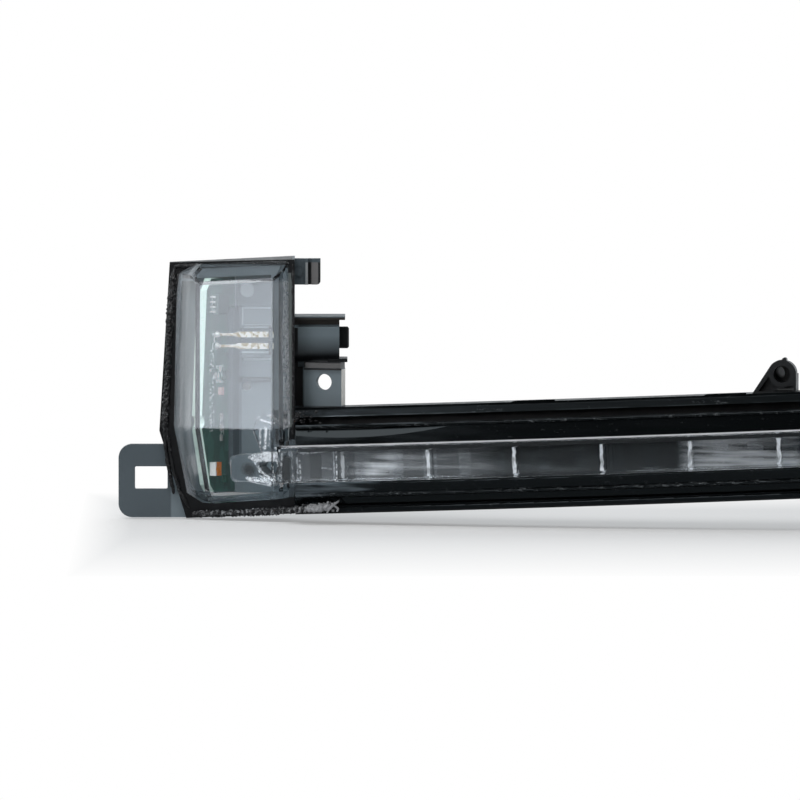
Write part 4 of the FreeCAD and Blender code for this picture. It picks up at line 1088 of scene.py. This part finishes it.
THREADS = [
    [(4.2, -9.6, -29.8, 0.22), (3.6, -10.4, -30.6, 0.4), (2.4, -10.9, -31.4, 0.34),
     (1.3, -11.0, -32.6, 0.3), (0.7, -10.8, -33.6, 0.2)],
    [(2.6, -10.9, -31.5, 0.2), (3.7, -11.0, -32.3, 0.3), (3.4, -10.8, -33.2, 0.22)],
]
ROUGH_SKIN = {"step": 0.2, "around": 30, "rough": 0.75, "grain_size": 0.75, "wander": 0.16}
SMOOTH_SKIN = {"step": 0.3, "around": 14, "rough": 0.35, "grain_size": 0.9, "wander": 0.18}
THREAD_SKIN = {"step": 0.12, "around": 12, "rough": 0.3, "grain_size": 0.5, "wander": 0.1}
CHANCE_START = 11
CRUMBS = 170
CRUMBS_CROWD = 0.7
CRUMB_SIZE = (0.18, 0.42)
CRUMB_STRETCH = (0.7, 1.3)
CRUMB_X = (-0.4, 0.4)
CRUMB_FORWARD = (0.1, 0.8)
CRUMB_UP = (-0.9, 1.0)
CORNER_CRUMBS = 45
CORNER_X = -7.3
CORNER_Y = -7.4
CORNER_REACH = 6.5
CORNER_TURNS = 0.35
CORNER_Z = (-10.2, -6.9)
CORNER_WIDTH = (0.2, 0.7)
CORNER_DEPTH = 0.22
CORNER_HEIGHT = (0.15, 0.3)


def add_crumb(shape, place, size):
    """A small pebble at a place, with its size along each axis, in millimetres."""
    made = bmesh.ops.create_icosphere(shape, subdivisions=1, radius=1.0)["verts"]
    bmesh.ops.scale(shape, verts=made, vec=size)
    bmesh.ops.translate(shape, verts=made, vec=place)
    bmesh.ops.scale(shape, verts=made, vec=(MM, MM, MM))


def finish_mesh(shape, name):
    """Turns a bmesh into a smooth, shown object that goes with the lamp."""
    bmesh.ops.recalc_face_normals(shape, faces=shape.faces)
    for face in shape.faces:
        face.smooth = True
    mesh = bpy.data.meshes.new(name)
    shape.to_mesh(mesh)
    shape.free()
    piece = bpy.data.objects.new(name, mesh)
    scene.collection.objects.link(piece)
    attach(piece, "root")
    print(name, "faces", len(mesh.polygons))
    return piece


def sealant():
    """All ropes and crumbs; both kinds of chance start the same in every run."""
    noise.seed_set(CHANCE_START)
    shape = bmesh.new()
    for paths, skin in ((ROUGH_ROPES, ROUGH_SKIN), (SMOOTH_ROPES, SMOOTH_SKIN),
                        (THREADS, THREAD_SKIN)):
        for path in paths:
            roll_rope(shape, path, **skin)
    chance = random.Random(CHANCE_START)
    for i in range(CRUMBS):
        t = chance.random() ** CRUMBS_CROWD
        centre, radius = along_path(ROUGH_ROPES[1] if i % 3 else ROUGH_ROPES[2], t)
        size = chance.uniform(*CRUMB_SIZE)
        shift = Vector((chance.uniform(*CRUMB_X), -chance.uniform(*CRUMB_FORWARD) * radius,
                        chance.uniform(*CRUMB_UP) * radius))
        add_crumb(shape, centre + shift, (size * chance.uniform(*CRUMB_STRETCH), size, size))
    for i in range(CORNER_CRUMBS):
        across = CORNER_REACH * chance.random() ** 2
        place = Vector((CORNER_X + across, CORNER_Y - across * CORNER_TURNS,
                        chance.uniform(*CORNER_Z)))
        add_crumb(shape, place, (chance.uniform(*CORNER_WIDTH), CORNER_DEPTH,
                                 chance.uniform(*CORNER_HEIGHT)))
    for vert in shape.verts:
        vert.co.z = max(vert.co.z, cad_box[0].z)
    return finish_mesh(shape, "sealant_ropes")


ropes = sealant()

# %% [markdown]
# ## The sealant's finish
# Black sealant that sparkles where its crumbs turn to the light. At the foot, torn strands are
# paler, and so is the thread. The crumbs are geometry. The sparkle is finer than any crumb, so it
# comes from noise and a bump.

# %% Sealant finish
SEALANT = ((0.006, 0.006, 0.007), (0.16, 0.17, 0.175))
FOOT_BELOW_Z = (-32, -29)
FOOT_FROM_X = (-36, -30)
STRANDS = (0.42, 0.43, 0.44)
THREAD_BEFORE_Y = (-10.6, -10.2)
THREAD_PALE = (0.5, 0.51, 0.53)


def rough_sealant():
    material, tree, body = new_finish("rough_sealant")
    place = measures(tree)
    sparkle = rise(tree, grain(tree, 1300.0, detail=4.0, roughness=0.7), (0.56, 0.72))
    colour = mixed(tree, sparkle, *SEALANT)
    foot = times(tree, fall(tree, place["Z"], FOOT_BELOW_Z), rise(tree, place["X"], FOOT_FROM_X))
    strands = rise(tree, grain(tree, 1000.0, roughness=0.6), (0.52, 0.66), 0.75)
    colour = mixed(tree, times(tree, foot, strands), colour, STRANDS)
    thread = fall(tree, place["Y"], THREAD_BEFORE_Y)
    colour = mixed(tree, times(tree, thread, 0.6), colour, THREAD_PALE)
    feed(tree, body.inputs["Base Color"], colour)
    feed(tree, body.inputs["Roughness"], spread(tree, grain(tree, 700.0), (0.3, 0.7), (0.22, 0.5)))
    bumped(tree, body, grain(tree, 2200.0, detail=4.0), strength=0.6, distance_mm=0.12)
    return material


ropes.data.materials.append(rough_sealant())
print("sealant finish on", ropes.name)
